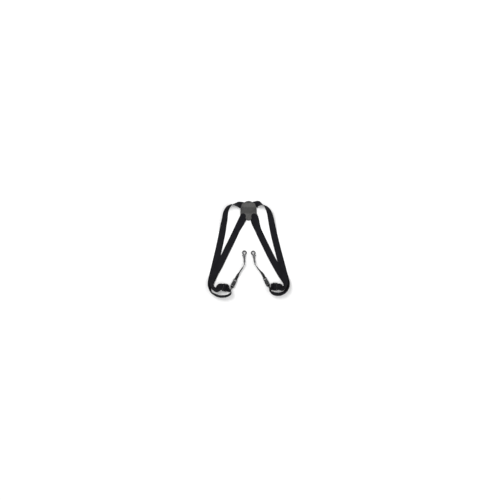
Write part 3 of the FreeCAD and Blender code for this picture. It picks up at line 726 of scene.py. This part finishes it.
LEFT = SidePlan(
    name="left", hand=1,
    slack=0.12,
    outer=(
        (0.0, 150.0, 0, LOWER), (-9.0, 160.0, 0, LOWER), (-20.0, 166.0, 0, LOWER),
        (-33.0, 168.0, 0, LOWER), (-40.5, 168.4, 36, 0.6), (-48.0, 168.8, 58, 0),
        (-55.0, 169.2, 74, 0), (-62.0, 169.3, 88, 0), (-66.3, 167.6, 96, 0),
        (-70.3, 165.0, 103, 0), (-78.3, 157.9, 118, 0), (-82.9, 150.6, 126, 0),
        (-86.2, 142.8, 131, 0), (-88.3, 136.2, 137, 0), (-89.6, 126.0, 143, 0),
        (-92.2, 109.0, 151, 0), (-95.4, 94.0, 159, 0), (-98.6, 75.0, 167, 0),
        (-101.7, 58.0, 180, 0), (-105.1, 40.7, 180, 0), (-112.6, 6.5, 180, 0),
        (-120.6, -27.7, 180, 0), (-128.7, -61.9, 180, 0), (-137.2, -96.1, 180, 0),
        (-142.2, -116.0, 163, 0), (-147.0, -133.0, 132, 0), (-147.3, -146.0, 112, 0),
        (-144.6, -157.3, 98, 0), (-139.3, -164.8, 97, 0), (-130.0, -170.8, 101, 0),
        (-115.0, -177.3, 106, 0), (-99.8, -178.9, 107, 0.4), (-84.5, -177.2, 106, 1.2),
        (-77.0, -174.0, 106, 1.6), (-70.5, -169.8, 105, 2.2), (-67.2, -163.8, 101, 2.9),
        (-67.9, -156.4, 90, 3.2),
    ),
    strap_end=(
        (-68.7, -155.2, 90, 3.2), (-71.6, -152.8, 112, 2.4), (-75.3, -150.4, 146, 1.8),
        (-79.0, -148.6, 172, 2.4),
    ),
    inner=(
        (0.0, 150.0, 0, UPPER), (-9.0, 140.0, 0, UPPER), (-16.5, 129.0, 0, UPPER),
        (-22.2, 117.0, 0, UPPER), (-32.1, 97.7, 0, 0.6), (-44.5, 74.9, 0, 0),
        (-60.6, 40.7, 0, 0.4), (-77.5, 6.5, 0, 1.9), (-94.2, -27.7, 0, 1.9),
        (-110.6, -61.9, 0, 1.9), (-125.0, -88.0, 0, 1.9), (-134.2, -107.0, -10, 2.2),
        (-139.2, -123.0, -38, 2.8), (-138.8, -137.5, -62, 2.8), (-132.2, -149.0, -62, 1.6),
        (-123.5, -153.6, -48, 1.0), (-116.8, -150.4, -30, 3.4), (-111.0, -143.6, -12, 9.0),
        (-107.4, -141.9, -3, 14.2), (-104.6, -141.8, 0, 15.9),
    ),
    slider=(-90.0, -145.2), slider_heading=-14.0,
    ring_bar=(-70.5, -157.7), buckle_heading=64.2,
    lead=(
        (-45.8, -107.6, 0, 3.35), (-43.2, -101.8, -14, 2.6), (-40.0, -95.4, -48, 1.4),
        (-35.8, -88.4, -68, 0.6), (-30.2, -79.6, -72, 0.6), (-24.4, -71.0, -74, 1.2),
        (-19.6, -63.2, -86, 2.6), (-17.7, -59.4, -90, 2.8),
    ),
    eye=(-16.5, -56.4), hook_heading=90.0,
)
RIGHT = SidePlan(
    name="right", hand=-1,
    slack=0.26,
    outer=(
        (0.0, 150.0, 0, UPPER), (9.0, 160.0, 0, UPPER), (19.0, 167.2, 0, UPPER),
        (33.0, 170.9, 0, UPPER), (39.5, 171.2, -40, 1.5), (45.5, 170.2, -64, 0),
        (52.2, 168.2, -82, 0), (59.5, 164.4, -95, 0), (65.2, 159.4, -109, 0),
        (71.8, 151.1, -123, 0), (75.9, 143.6, -131, 0), (78.8, 136.3, -138, 0),
        (81.4, 127.0, -146, 0), (84.6, 112.0, -153, 0), (88.0, 95.0, -160, 0),
        (92.0, 75.0, -168, 0), (96.0, 57.0, -180, 0), (99.8, 40.7, -180, 0),
        (108.2, 6.5, -180, 0), (117.2, -27.7, -180, 0), (126.4, -61.9, -180, 0),
        (135.5, -96.1, -180, 0), (141.2, -115.0, -163, 0), (146.2, -130.0, -140, 0),
        (147.0, -143.5, -118, 0), (141.6, -155.5, -112, 0), (131.5, -165.0, -112, 0),
        (118.5, -169.5, -116, 0), (105.0, -170.0, -118, 0.4), (92.4, -166.8, -115, 1.2),
        (83.0, -160.6, -104, 2.4), (78.0, -156.0, -92, 3.0), (78.2, -151.0, -90, 3.2),
    ),
    strap_end=(
        (79.2, -149.6, -90, 3.2), (81.8, -146.8, -112, 2.4), (85.0, -144.2, -146, 1.8),
        (88.5, -142.4, -172, 2.4),
    ),
    inner=(
        (0.0, 150.0, 0, LOWER), (9.0, 140.0, 0, LOWER), (16.5, 129.0, 0, LOWER),
        (21.5, 117.0, 0, LOWER), (26.6, 97.7, 0, 0), (35.0, 74.9, 0, 0),
        (50.7, 40.7, 0, 0.4), (67.4, 6.5, 0, 1.9), (84.4, -27.7, 0, 1.9),
        (103.0, -61.9, 0, 1.9), (121.5, -94.0, 0, 1.9), (132.6, -111.0, 12, 2.2),
        (138.6, -124.0, 38, 2.8), (138.2, -137.0, 60, 2.8), (133.0, -146.2, 62, 1.6),
        (127.0, -149.6, 54, 0.8), (122.5, -147.2, 34, 3.2), (119.6, -144.0, 14, 9.0),
        (117.2, -142.2, 4, 14.2), (114.6, -141.8, 0, 15.9),
    ),
    slider=(99.5, -141.8), slider_heading=180.0,
    ring_bar=(81.1, -152.2), buckle_heading=116.0,
    lead=(
        (57.4, -103.2, 0, 3.35), (54.4, -97.6, 14, 2.6), (50.4, -91.6, 30, 1.4),
        (45.4, -85.2, 58, 0.6), (38.6, -77.0, 72, 0.6), (31.6, -68.4, 76, 1.6),
        (27.4, -62.6, 86, 2.7), (25.3, -59.4, 90, 2.8),
    ),
    eye=(23.8, -56.6), hook_heading=99.0,
)


def heading(angle: float) -> Vector:
    """Unit vector on the floor at this angle from +X, in degrees."""
    return Vector((math.cos(math.radians(angle)), math.sin(math.radians(angle)), 0.0))


# ---------------------------------------------------------------- yoke

@dataclass
class Yoke:
    """Two leather panels sewn together round the edge, with the straps crossing between them."""

    rack: FinishRack
    side: float = 31.4 * MM
    shoulder_taper: float = 1.8 * MM
    middle: float = -0.8 * MM
    top: float = 175.5 * MM
    corner: float = 9 * MM
    foot: float = 128 * MM
    arch: float = 136 * MM
    notch: float = 121 * MM
    tongue: float = 108.5 * MM
    neck: float = 8 * MM
    leather: float = 1.5 * MM
    closed: float = 1.7 * MM
    front_crown: float = 1.4 * MM
    rear_crown: float = 9.1 * MM
    shoulder_step: float = 3.5 * MM
    shoulder: Point = (158 * MM, 166 * MM)
    cell: float = 0.75 * MM
    groove_inset: float = 3.0 * MM
    groove: float = 0.3 * MM
    fall: float = 7.0 * MM
    stitch: float = 2.7 * MM
    pitch: float = 3.6 * MM
    gauge: float = 0.8 * MM
    crossing: list[Station] = field(default_factory=list)

    def build(self) -> list[bpy.types.Object]:
        """Make the two panels and the stitching."""
        for plan in (LEFT, RIGHT):
            for points in (plan.outer, plan.inner):
                for station in Route(points[:7], STRAP.width, STRAP_LIE * MM).stations(1.5 * MM):
                    self.crossing.append(station)
        front = self.panel("yoke_front", 0.0, self.front_crown, self.cover)
        rear = self.panel("yoke_rear", 1.0 * MM, self.rear_crown, lambda x, y: 0.0)
        stitches = self.stitching()
        for piece, node, finish in (
            (front, "yoke_front_panel", Finish.LEATHER),
            (rear, "yoke_rear_panel", Finish.BACKING),
            (stitches, "yoke_stitching", Finish.THREAD),
        ):
            self.rack.dress(piece, finish)
            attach(piece, "root")
            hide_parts(node)
        return [front, rear, stitches]

    def _arc(self, a: Point, b: Point, c: Point, count: int = 26) -> list[Vector]:
        """Points on the arc from a through b to c, without c."""
        ax, ay, bx, by, cx, cy = *a, *b, *c
        d = 2 * (ax * (by - cy) + bx * (cy - ay) + cx * (ay - by))
        ux = ((ax**2 + ay**2) * (by - cy) + (bx**2 + by**2) * (cy - ay) + (cx**2 + cy**2) * (ay - by)) / d
        uy = ((ax**2 + ay**2) * (cx - bx) + (bx**2 + by**2) * (ax - cx) + (cx**2 + cy**2) * (bx - ax)) / d
        radius = math.hypot(ax - ux, ay - uy)
        start, through, end = (math.atan2(y - uy, x - ux) for x, y in (a, b, c))
        sweep = (end - start) % math.tau
        if (through - start) % math.tau > sweep:
            sweep -= math.tau
        turns = [start + sweep * i / count for i in range(count)]
        return [Vector((ux + radius * math.cos(t), uy + radius * math.sin(t), 0.0)) for t in turns]

    def outline(self, inset: float, crown: float) -> list[Vector]:
        """Closed outline of a panel.

        Args:
            inset: how far its edge lies inside the front panel's.
            crown: how far its top edge arches up in the middle.

        Returns:
            The outline's points, all the way round.
        """
        side, top, r = self.side - inset, self.top - inset, self.corner - inset / 2
        foot, arch, tongue = self.foot + inset, self.arch + inset, self.tongue + inset
        neck = self.neck - inset / 2 + 3 * MM
        k = r * (1 - math.sqrt(0.5))
        right = [(side, foot), (side, top - r), (side - k, top - k), (side - r, top)]
        run = self._line(right[0], right[1]) + self._arc(*right[1:])
        run += self._arc(right[3], (0.0, top + crown), (-side + r, top), 60)
        run += self._arc((-side + r, top), (-side + k, top - k), (-side, top - r))
        run += self._line((-side, top - r), (-side, foot))
        run += self._arc((-side, foot), (-side + 8 * MM, arch), (-neck, self.notch))
        run += self._arc((-neck, self.notch), (0.0, tongue), (neck, self.notch))
        run += self._arc((neck, self.notch), (side - 8 * MM, arch), (side, foot))
        for point in run:
            narrow = self.shoulder_taper * smoothstep((point.y - self.foot) / (self.top - self.foot))
            low, high = self.shoulder
            narrow += self.shoulder_step * smoothstep((point.y - low) / (high - low))
            point.x = self.middle + point.x * (1 - narrow / self.side)
        return run

    def _line(self, a: Point, b: Point) -> list[Vector]:
        """Points from a towards b, about a millimetre apart, without b."""
        start, end = Vector((*a, 0.0)), Vector((*b, 0.0))
        count = max(1, round((end - start).length / MM))
        return [start.lerp(end, i / count) for i in range(count)]

    @staticmethod
    def _inside(point: Vector, run: Sequence[Vector]) -> bool:
        """Whether a point lies inside a closed outline."""
        inside = False
        for a, b in zip(run, [*run[1:], run[0]]):
            if (a.y > point.y) != (b.y > point.y):
                if point.x < (b.x - a.x) * (point.y - a.y) / (b.y - a.y) + a.x:
                    inside = not inside
        return inside

    @staticmethod
    def _tree(run: Sequence[Vector]) -> KDTree:
        """Search tree over an outline's points, made dense."""
        dense = []
        for a, b in zip(run, [*run[1:], run[0]]):
            count = max(1, round((b - a).length / (0.2 * MM)))
            dense += [a.lerp(b, i / count) for i in range(count)]
        tree = KDTree(len(dense))
        for i, point in enumerate(dense):
            tree.insert(point, i)
        tree.balance()
        return tree

    def cover(self, x: float, y: float) -> float:
        """Height of the front panel's underside, drawn over the straps that cross below it."""
        sharp = 1.6 / MM
        heights = [self.closed]
        for layer in (LOWER, UPPER):
            reach = min(
                math.hypot(s.centre.x - x, s.centre.y - y)
                for s in self.crossing if abs(s.centre.z - (layer + STRAP_LIE / 2) * MM) < 0.4 * MM
            )
            rise = smoothstep(1 - (reach - STRAP.width / 2) / self.fall)
            heights.append(self.closed + (layer + STRAP_LIE + 0.1 - self.closed / MM) * MM * rise)
        soft = math.log(sum(math.exp(sharp * height) for height in heights)) / sharp
        return max(self.closed, soft - 0.2 * MM)

    def panel(self, name: str, inset: float, crown: float,
              underside: Callable[[float, float], float]) -> bpy.types.Object:
        """One leather panel, cut to the outline and formed over what it covers.

        Args:
            name: the piece's name.
            inset: how far its edge lies inside the front panel's.
            crown: how far its top edge arches up in the middle.
            underside: height of its lower face at x, y.

        Returns:
            The panel, with rounded edges and a stitching groove.
        """
        run = self.outline(inset, crown)
        edge = self._tree(run)
        seam = self._tree(self.outline(self.groove_inset, self.front_crown))
        width, height = 2 * self.side, self.top + crown - self.tongue
        mesh = bmesh.new()
        columns, rows = round(width / self.cell), round(height / self.cell)
        bmesh.ops.create_grid(mesh, x_segments=columns, y_segments=rows, size=0.5)
        bmesh.ops.scale(mesh, vec=(width, height, 1.0), verts=mesh.verts)
        shift = (self.middle, (self.top + crown + self.tongue) / 2, 0.0)
        bmesh.ops.translate(mesh, vec=shift, verts=mesh.verts)
        outside = [f for f in mesh.faces if not self._inside(f.calc_center_median(), run)]
        bmesh.ops.delete(mesh, geom=outside, context="FACES")
        for vert in [v for v in mesh.verts if v.is_boundary]:
            vert.co = edge.find(vert.co)[0]
        grown = bmesh.ops.extrude_face_region(mesh, geom=list(mesh.faces))["geom"]
        upper = {g for g in grown if isinstance(g, bmesh.types.BMVert)}
        for vert in mesh.verts:
            x, y = vert.co.x, vert.co.y
            sink = self.groove * smoothstep(1 - seam.find(Vector((x, y, 0.0)))[2] / (1.0 * MM))
            level = underside(x, y)
            wrinkle = 0.12 * MM * noise.noise(Vector((x, y, 0.0)) * 160.0)
            if vert in upper:
                vert.co.z = level + self.leather - sink - abs(wrinkle)
            else:
                vert.co.z = level + (sink if inset else 0.0)
        bmesh.ops.recalc_face_normals(mesh, faces=mesh.faces)
        bevelled(mesh, sharp_edges(mesh, 55.0), 0.33 * MM, 2)
        return finished(mesh, name, 70.0)

    def stitching(self) -> bpy.types.Object:
        """Row of saddle stitches in the groove, on the front and on the back."""
        run = self.outline(self.groove_inset, self.front_crown)
        run.append(run[0].copy())
        at = [0.0]
        for a, b in zip(run, run[1:]):
            at.append(at[-1] + (b - a).length)
        count = round(at[-1] / self.pitch)
        mesh = bmesh.new()
        for i in range(count):
            along, place = self._walk(run, at, at[-1] * (i + 0.5) / count)
            level = self.cover(place.x, place.y) + self.leather - self.groove
            ahead = place + along * MM
            slope = self.cover(ahead.x, ahead.y) - self.cover(place.x, place.y)
            lean = (along * MM + UP * slope).normalized()
            normal = lean.cross(UP.cross(lean)).normalized()
            seat = Vector((place.x, place.y, level + 0.22 * self.gauge))
            stitch_into(mesh, seat, lean, normal, self.stitch, self.gauge)
            under = Vector((place.x, place.y, 0.35 * self.gauge + 0.05 * MM))
            stitch_into(mesh, under, along, UP, self.stitch, 0.6 * self.gauge)
        return finished(mesh, "yoke_stitches", 80.0)

    @staticmethod
    def _walk(run: Sequence[Vector], at: Sequence[float], t: float) -> tuple[Vector, Vector]:
        """Direction and place at a distance along an outline."""
        k = max(i for i in range(len(at) - 1) if at[i] <= t)
        along = (run[k + 1] - run[k]).normalized()
        return along, run[k] + along * (t - at[k])


# ---------------------------------------------------------------- straps

@dataclass
class ShoulderStrap:
    """One side's elastic strap: down the back, round the waist loop, and through the slider."""

    rack: FinishRack
    plan: SidePlan
    slider_half: float = 10 * MM
    slider_thick: float = 2.4 * MM
    slider_level: float = 9.6 * MM
    slider_pitch: float = 38.0
    gap: float = 0.3 * MM

    def slider_axes(self) -> tuple[Vector, Vector, Vector]:
        """Slider's middle, its line along the strap and its upright."""
        flat = heading(self.plan.slider_heading)
        pitch = math.radians(self.slider_pitch)
        along = flat * math.cos(pitch) - UP * math.sin(pitch)
        x, y = self.plan.slider
        return Vector((x * MM, y * MM, self.slider_level)), along, along.cross(UP.cross(flat))

    def build(self) -> list[bpy.types.Object]:
        """Make the outer and inner runs, the threaded tail and the sewn end."""
        plan = self.plan
        outer = Route(plan.outer, STRAP.width, STRAP_LIE * MM)
        inner = Route(plan.inner, STRAP.width, STRAP_LIE * MM)
        pieces = [
            self._run("outer_strap", outer.stations(STRAP_STEP), None),
            self._run("inner_strap", inner.stations(STRAP_STEP), self._relaxed),
            self._tail(inner),
            self._end(outer),
            self._tack(outer),
        ]
        return pieces

    def _relaxed(self, place: Vector) -> float:
        """How much wider the inner run lies just below the yoke, where its elastic is slack."""
        below = smoothstep((place.y - 70 * MM) / (36 * MM))
        hidden = smoothstep((place.y - 124 * MM) / (14 * MM))
        return 1 + self.plan.slack * below * (1 - hidden)

    def _run(self, piece: str, stations: list[Station],
             spread: Callable[[Vector], float] | None) -> bpy.types.Object:
        """One of the strap's two long runs, which lie still."""
        made = STRAP.draw(f"{self.plan.name}_{piece}_webbing", stations, self._calm, spread)
        self.rack.dress(made, Finish.ELASTIC)
        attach(made, "root")
        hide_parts(self.plan.node(piece))
        return made

    @staticmethod
    def _calm(place: Vector) -> float:
        """Share of the ripple: none under the yoke, all of it well below."""
        far = (Vector((place.x, place.y, 0.0)) - CROSSING).length
        return smoothstep((far - 45 * MM) / (40 * MM))

    def _across_joint(self, piece: str, knots: list[tuple[Vector, float]], start: float) -> bpy.types.Object:
        """A stretch of strap from where it lies still to the slider."""
        stations = Line(knots, start).stations(FINE_STEP)
        made = STRAP.draw(f"{self.plan.name}_{piece}_webbing", stations, self._calm)
        self.rack.dress(made, Finish.ELASTIC)
        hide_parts(self.plan.node(piece))
        self.plan.node("slider")
        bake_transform(made)
        return made

    def _tail(self, inner: Route) -> bpy.types.Object:
        """The strap's threaded end: over the hump, through the slots and out as a short tail."""
        at, along, normal = self.slider_axes()
        low = -self.slider_thick / 2 - self.gap - STRAP_LIE * MM / 2
        high = -low
        half = self.slider_half
        profile = (
            (-half - 3.6 * MM, low - 0.4 * MM), (-half - 0.5 * MM, low), (-half + 2 * MM, low),
            (-6.2 * MM, low * 0.8), (-4.6 * MM, 0.0), (-3.0 * MM, high * 0.8), (-1.4 * MM, high),
            (1.6 * MM, high), (3.0 * MM, high * 0.65), (4.1 * MM, 0.0), (5.2 * MM, low * 0.75),
            (6.6 * MM, low), (half - 1 * MM, low), (half + 1.5 * MM, low),
        )
        last = inner.station(inner.length)
        knots = [(last.centre, 0.0), (last.centre + last.along * 1.5 * MM, 0.0)]
        knots += [(at + along * s + normal * h, 0.0) for s, h in profile]
        return self._across_joint("strap_tail", knots, inner.length)

    def _end(self, outer: Route) -> bpy.types.Object:
        """The strap's sewn end: from the ring, turning flat and over the slider's end bar."""
        at, along, normal = self.slider_axes()
        over = self.slider_thick / 2 + self.gap + STRAP_LIE * MM / 2
        turn = Route(self.plan.strap_end, STRAP.width, STRAP_LIE * MM)
        last = outer.place(outer.length)
        knots = [last] + [turn.place(turn.length * i / 7) for i in range(8)]
        flat = math.radians(180 * self.plan.hand)
        wrap = (
            (8.8 * MM, over + 0.1 * MM), (7.4 * MM, over),
            (6.4 * MM, over - MM), (6.2 * MM, -0.2 * MM),
        )
        knots += [(at + along * s + normal * h, flat) for s, h in wrap]
        return self._across_joint("strap_end", knots, outer.length)

    def _tack(self, outer: Route) -> bpy.types.Object:
        """Two rows of stitches across the strap, short of the ring."""
        mesh = bmesh.new()
        for back in (6.0 * MM, 9.0 * MM):
            station = outer.station(outer.length - back)
            for i in range(9):
                across = STRAP.width * (i - 4) / 10.4
                for face in (1, -1):
                    seat = station.point(across, face * (STRAP.thick / 2 + 0.05 * MM))
                    stitch_into(mesh, seat, station.across, station.face * face, 2.0 * MM, 0.5 * MM)
        made = finished(mesh, f"{self.plan.name}_strap_tack", 80.0)
        self.rack.dress(made, Finish.THREAD)
        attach(made, "root")
        return made


# ---------------------------------------------------------------- ring and slider

@dataclass
class StrapFittings:
    """One side's upright ring and three-bar slider."""

    rack: FinishRack
    plan: SidePlan
    bar: float = 1.3 * MM
    pitch: float = 7.0 * MM
    gap_high: float = 26.4 * MM
    lift: float = 0.2 * MM
    corner: float = 2.2 * MM

    def build(self, strap: ShoulderStrap) -> list[bpy.types.Object]:
        """Make the ring and the slider."""
        return [self._ring(), self._slider(strap)]

    def _ring(self) -> bpy.types.Object:
        """Rectangular ring of round bar, standing on its short side."""
        along = heading(self.plan.buckle_heading)
        x, y = self.plan.ring_bar
        near = Vector((x * MM, y * MM, 0.0))
        far = near + along * self.pitch
        low = self.lift + self.bar
        high = self.lift + self.gap_high + 3 * self.bar
        r = self.corner
        axis = along.cross(UP)
        rise = UP * (high - low - 2 * r)
        reach = along * (self.pitch - 2 * r)
        bender = BarBender(near + UP * (low + r), UP, self.bar)
        bender.draw(rise).bend(near + along * r + UP * (high - r), axis * -1, -90)
        bender.draw(reach).bend(far - along * r + UP * (high - r), axis * -1, -90)
        bender.draw(rise * -1).bend(far - along * r + UP * (low + r), axis * -1, -90)
        bender.draw(reach * -1).bend(near + along * r + UP * (low + r), axis * -1, -90)
        made = bender.close(f"{self.plan.name}_strap_ring", False)
        self.rack.dress(made, Finish.NYLON)
        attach(made, "root")
        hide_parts(self.plan.node("ring"))
        return made

    def _slider(self, strap: ShoulderStrap) -> bpy.types.Object:
        """Three-bar slider: a flat plate with two slots, whose middle bar grips the strap."""
        half, wide = strap.slider_half, 15 * MM
        slot, slot_wide = 2.8 * MM, 13 * MM
        middle = half / 2 - 0.4 * MM
        xs = (-half, -middle - slot, -middle + slot, middle - slot, middle + slot, half)
        ys = (-wide, -slot_wide, slot_wide, wide)
        z = strap.slider_thick / 2
        mesh = slotted_plate(xs, ys, ((1, 1), (3, 1)), (-z, z), 0.9 * MM, 0.55 * MM)
        at, along, normal = strap.slider_axes()
        turn = Matrix((along, normal.cross(along), normal)).transposed().to_4x4()
        bmesh.ops.transform(mesh, matrix=Matrix.Translation(at) @ turn, verts=mesh.verts)
        made = finished(mesh, f"{self.plan.name}_three_bar_slider", 45.0)
        self.rack.dress(made, Finish.NYLON)
        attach(made, self.plan.node("slider"))
        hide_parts(self.plan.node("slider"))
        return made


# ---------------------------------------------------------------- tapes, buckle and hook

@dataclass
class HookLead:
    """One side's link tape, side-release buckle, lead tape and snap hook."""

    rack: FinishRack
    plan: SidePlan
    ring_pitch: float = 7.0 * MM
    socket_bar: float = 10.4 * MM
    plug_bar: float = 40.3 * MM
    buckle_level: float = 4.1 * MM
    link_level: float = 8.2 * MM
    bar: float = 1.3 * MM
    eye_level: float = 8.6 * MM
    hook_drop: float = 6.8
    loop_out: float = 4.6 * MM

    def build(self) -> list[bpy.types.Object]:
        """Make the tapes and dress the buckle and the hook."""
        moulded = ("buckle_socket", "buckle_plug", "left_arm", "right_arm")
        for piece in moulded:
            self.rack.dress_node(self.plan.node(piece), Finish.NYLON)
        for piece in ("hook_eye", "hook", "gate"):
            self.rack.dress_node(self.plan.node(piece), Finish.GUNMETAL)
        for piece in ("swivel_post", "gate_pin", "gate_spring"):
            self.rack.dress_node(self.plan.node(piece), Finish.STEEL)
        return [*self._link_tape(), *self._lead_tape()]

    def _buckle_axes(self) -> tuple[Vector, Vector]:
        """Middle of the ring's link bar on the floor, and the buckle's line."""
        along = heading(self.plan.buckle_heading)
        x, y = self.plan.ring_bar
        return Vector((x * MM, y * MM, 0.0)) + along * self.ring_pitch, along

    def _hook_line(self) -> tuple[Vector, Vector]:
        """The hook's line, and the line of its eye's bar."""
        level = heading(self.plan.hook_heading)
        drop = math.radians(self.hook_drop)
        line = level * math.cos(drop) - UP * math.sin(drop)
        return line, line.cross(UP.cross(level))

    def _loop(self, name: str, end: Station, bar: Vector, axis: Vector) -> bpy.types.Object:
        """Fold of the tape round a bar, from one face of its end to the other.

        Args:
            name: the piece's name.
            end: the tape's last station, with its direction towards the bar.
            bar: the bar's middle.
            axis: the bar's line.

        Returns:
            The folded ply.
        """
        toward = (end.centre - bar)
        toward -= axis * toward.dot(axis)
        toward.normalize()
        side = axis.cross(toward)
        radius = self.bar + 0.15 * MM + TAPE_PLY.thick / 2
        ply = TAPE_PLY.thick / 2 + 0.02 * MM
        hold = 1 if end.face.dot(side) > 0 else -1
        middle = [end.centre + end.face * ply * hold]
        for i in range(13):
            turn = math.radians(52 + 256 * i / 12)
            middle.append(bar + (toward * math.cos(turn) + side * math.sin(turn)) * radius)
        middle.append(end.centre - end.face * ply * hold)
        stations = []
        count = 48
        curve = Line([(p, 0.0) for p in middle])
        for i in range(count + 1):
            t = curve.length * i / count
            centre = curve.place(t)[0]
            along = curve.place(min(t + 0.05 * MM, curve.length))[0] - curve.place(max(t - 0.05 * MM, 0))[0]
            along.normalize()
            line = end.across if end.across.dot(axis) > 0 else end.across * -1
            share = smoothstep(min(i, count - i) / 7)
            across = line.lerp(axis, share).normalized()
            across = (across - along * across.dot(along)).normalized()
            stations.append(Station(centre, across, along.cross(across), along, t))
        return TAPE_PLY.draw(name, stations)

    def _tacks(self, name: str, stations: Iterable[Station]) -> bpy.types.Object:
        """Bar tacks: close zigzag rows of thread across the tape on both faces."""
        mesh = bmesh.new()
        for station in stations:
            for row in range(4):
                for i in range(7):
                    across = TAPE.width * (i - 3) / 8.4
                    lean = (station.across + station.along * (0.55 if (i + row) % 2 else -0.55)).normalized()
                    for face in (1, -1):
                        seat = station.point(across, face * (TAPE.thick / 2 + 0.04 * MM))
                        seat += station.along * (row - 1.5) * 0.75 * MM
                        stitch_into(mesh, seat, lean, station.face * face, 1.5 * MM, 0.36 * MM)
        return finished(mesh, name, 80.0)

    def _link_tape(self) -> list[bpy.types.Object]:
        """Short tape from the ring to the socket, turning from on edge to flat."""
        link, along = self._buckle_axes()
        start = link + UP * self.link_level
        end = link + along * self.socket_bar + UP * self.buckle_level
        knots = []
        for i in range(7):
            f = i / 6
            centre = start.lerp(end, 0.27 + 0.46 * f)
            knots.append((centre, math.radians(90 * (1 - smoothstep(f)))))
        run = Line(knots)
        stations = run.stations(0.4 * MM)
        name = self.plan.node("link_tape")
        pieces = [
            TAPE.draw(f"{name}_body", stations),
            self._loop(f"{name}_ring_fold", stations[0], start, UP),
            self._loop(f"{name}_socket_fold", stations[-1], end, UP.cross(along)),
        ]
        return self._rig(pieces, Finish.TAPE, "socket", name)

    def _lead_tape(self) -> list[bpy.types.Object]:
        """Long narrow tape from the plug to the hook's eye, with a half turn on the way."""
        link, along = self._buckle_axes()
        plug = link + along * self.plug_bar + UP * self.buckle_level
        eye = Vector((self.plan.eye[0] * MM, self.plan.eye[1] * MM, self.eye_level))
        route = Route(self.plan.lead, TAPE.width, TAPE_LIE * MM)
        knots = [(plug + along * self.loop_out, 0.0)]
        knots += [route.place(route.length * i / 22) for i in range(21)]
        last = route.place(route.length)
        short = eye + (last[0] - eye).normalized() * self.loop_out
        knots[-1] = (short, last[1])
        run = Line(knots)
        stations = run.stations(0.8 * MM)
        name = self.plan.node("lead_tape")
        pieces = [
            TAPE.draw(f"{name}_body", stations),
            self._loop(f"{name}_plug_fold", stations[0], plug, UP.cross(along)),
            self._loop(f"{name}_eye_fold", stations[-1], eye, self._hook_line()[1]),
        ]
        tacks = self._tacks(f"{name}_tacks", [run.station(2.6 * MM), run.station(11 * MM),
                                              run.station(run.length - 2.6 * MM)])
        return self._rig(pieces, Finish.TAPE, "plug", name) + self._rig([tacks], Finish.THREAD, "plug", None)

    def _rig(self, pieces: list[bpy.types.Object], finish: Finish, body: str,
             node: str | None) -> list[bpy.types.Object]:
        """Dress pieces, put them on a body and hide the CAD node that they replace."""
        for piece in pieces:
            self.rack.dress(piece, finish)
            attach(piece, self.plan.node(body))
        if node:
            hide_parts(node)
        return pieces


# ---------------------------------------------------------------- studio

@dataclass
class Studio:
    """Pale floor, soft light from the upper left, and the camera straight above."""

    eye: Vector = field(default_factory=lambda: Vector((4.75 * MM, -3.0 * MM, 2.64)))
    lens: float = 50.0
    sensor: float = 36.0

    def build(self) -> None:
        """Set the stage."""
        self._floor()
        self._light("key", Vector((-1.3, 1.5, 2.6)), 1.5, 50.0)
        self._light("fill", Vector((1.8, -0.6, 2.4)), 2.2, 18.0)
        world = bpy.data.worlds.new("soft_white")
        bpy.context.scene.world = world
        world.use_nodes = True
        sky = world.node_tree.nodes["Background"]
        sky.inputs["Color"].default_value = (1.0, 1.0, 1.0, 1.0)
        sky.inputs["Strength"].default_value = 0.8
        bpy.context.scene.view_settings.view_transform = "Standard"
        self._camera()

    def _floor(self) -> None:
        """A wide pale floor, just under the harness."""
        mesh = bmesh.new()
        bmesh.ops.create_grid(mesh, x_segments=1, y_segments=1, size=6.0)
        bmesh.ops.translate(mesh, verts=mesh.verts, vec=(0, 0, -0.1 * MM))
        floor = finished(mesh, "studio_floor")
        shader = Shader("studio_paper", 0.9)
        shader.set("Base Color", (0.93, 0.93, 0.93))
        floor.data.materials.append(shader.material)

    @staticmethod
    def _light(name: str, at: Vector, size: float, power: float) -> None:
        """One square soft light aimed at the harness."""
        data = bpy.data.lights.new(name, "AREA")
        data.size = size
        data.energy = power
        lamp = bpy.data.objects.new(name, data)
        lamp.location = at
        lamp.rotation_euler = (at * -1).to_track_quat("-Z", "Y").to_euler()
        bpy.context.scene.collection.objects.link(lamp)

    def _camera(self) -> None:
        """Camera straight above, with the yoke at the top of its picture."""
        data = bpy.data.cameras.new("camera")
        data.lens = self.lens
        data.sensor_width = self.sensor
        camera = bpy.data.objects.new("camera", data)
        camera.location = self.eye
        bpy.context.scene.collection.objects.link(camera)
        bpy.context.scene.camera = camera


def main() -> None:
    """Build and dress the whole harness, then set the stage."""
    logging.basicConfig(level=logging.INFO, format="%(name)s: %(message)s")
    rack = FinishRack()
    pieces = Yoke(rack).build()
    for plan in (LEFT, RIGHT):
        strap = ShoulderStrap(rack, plan)
        pieces += strap.build()
        pieces += StrapFittings(rack, plan).build(strap)
        pieces += HookLead(rack, plan).build()
    for piece in pieces:
        LOG.info("%s: %d faces", piece.name, len(piece.data.polygons))
    Studio().build()


if __name__ == "__main__":
    main()
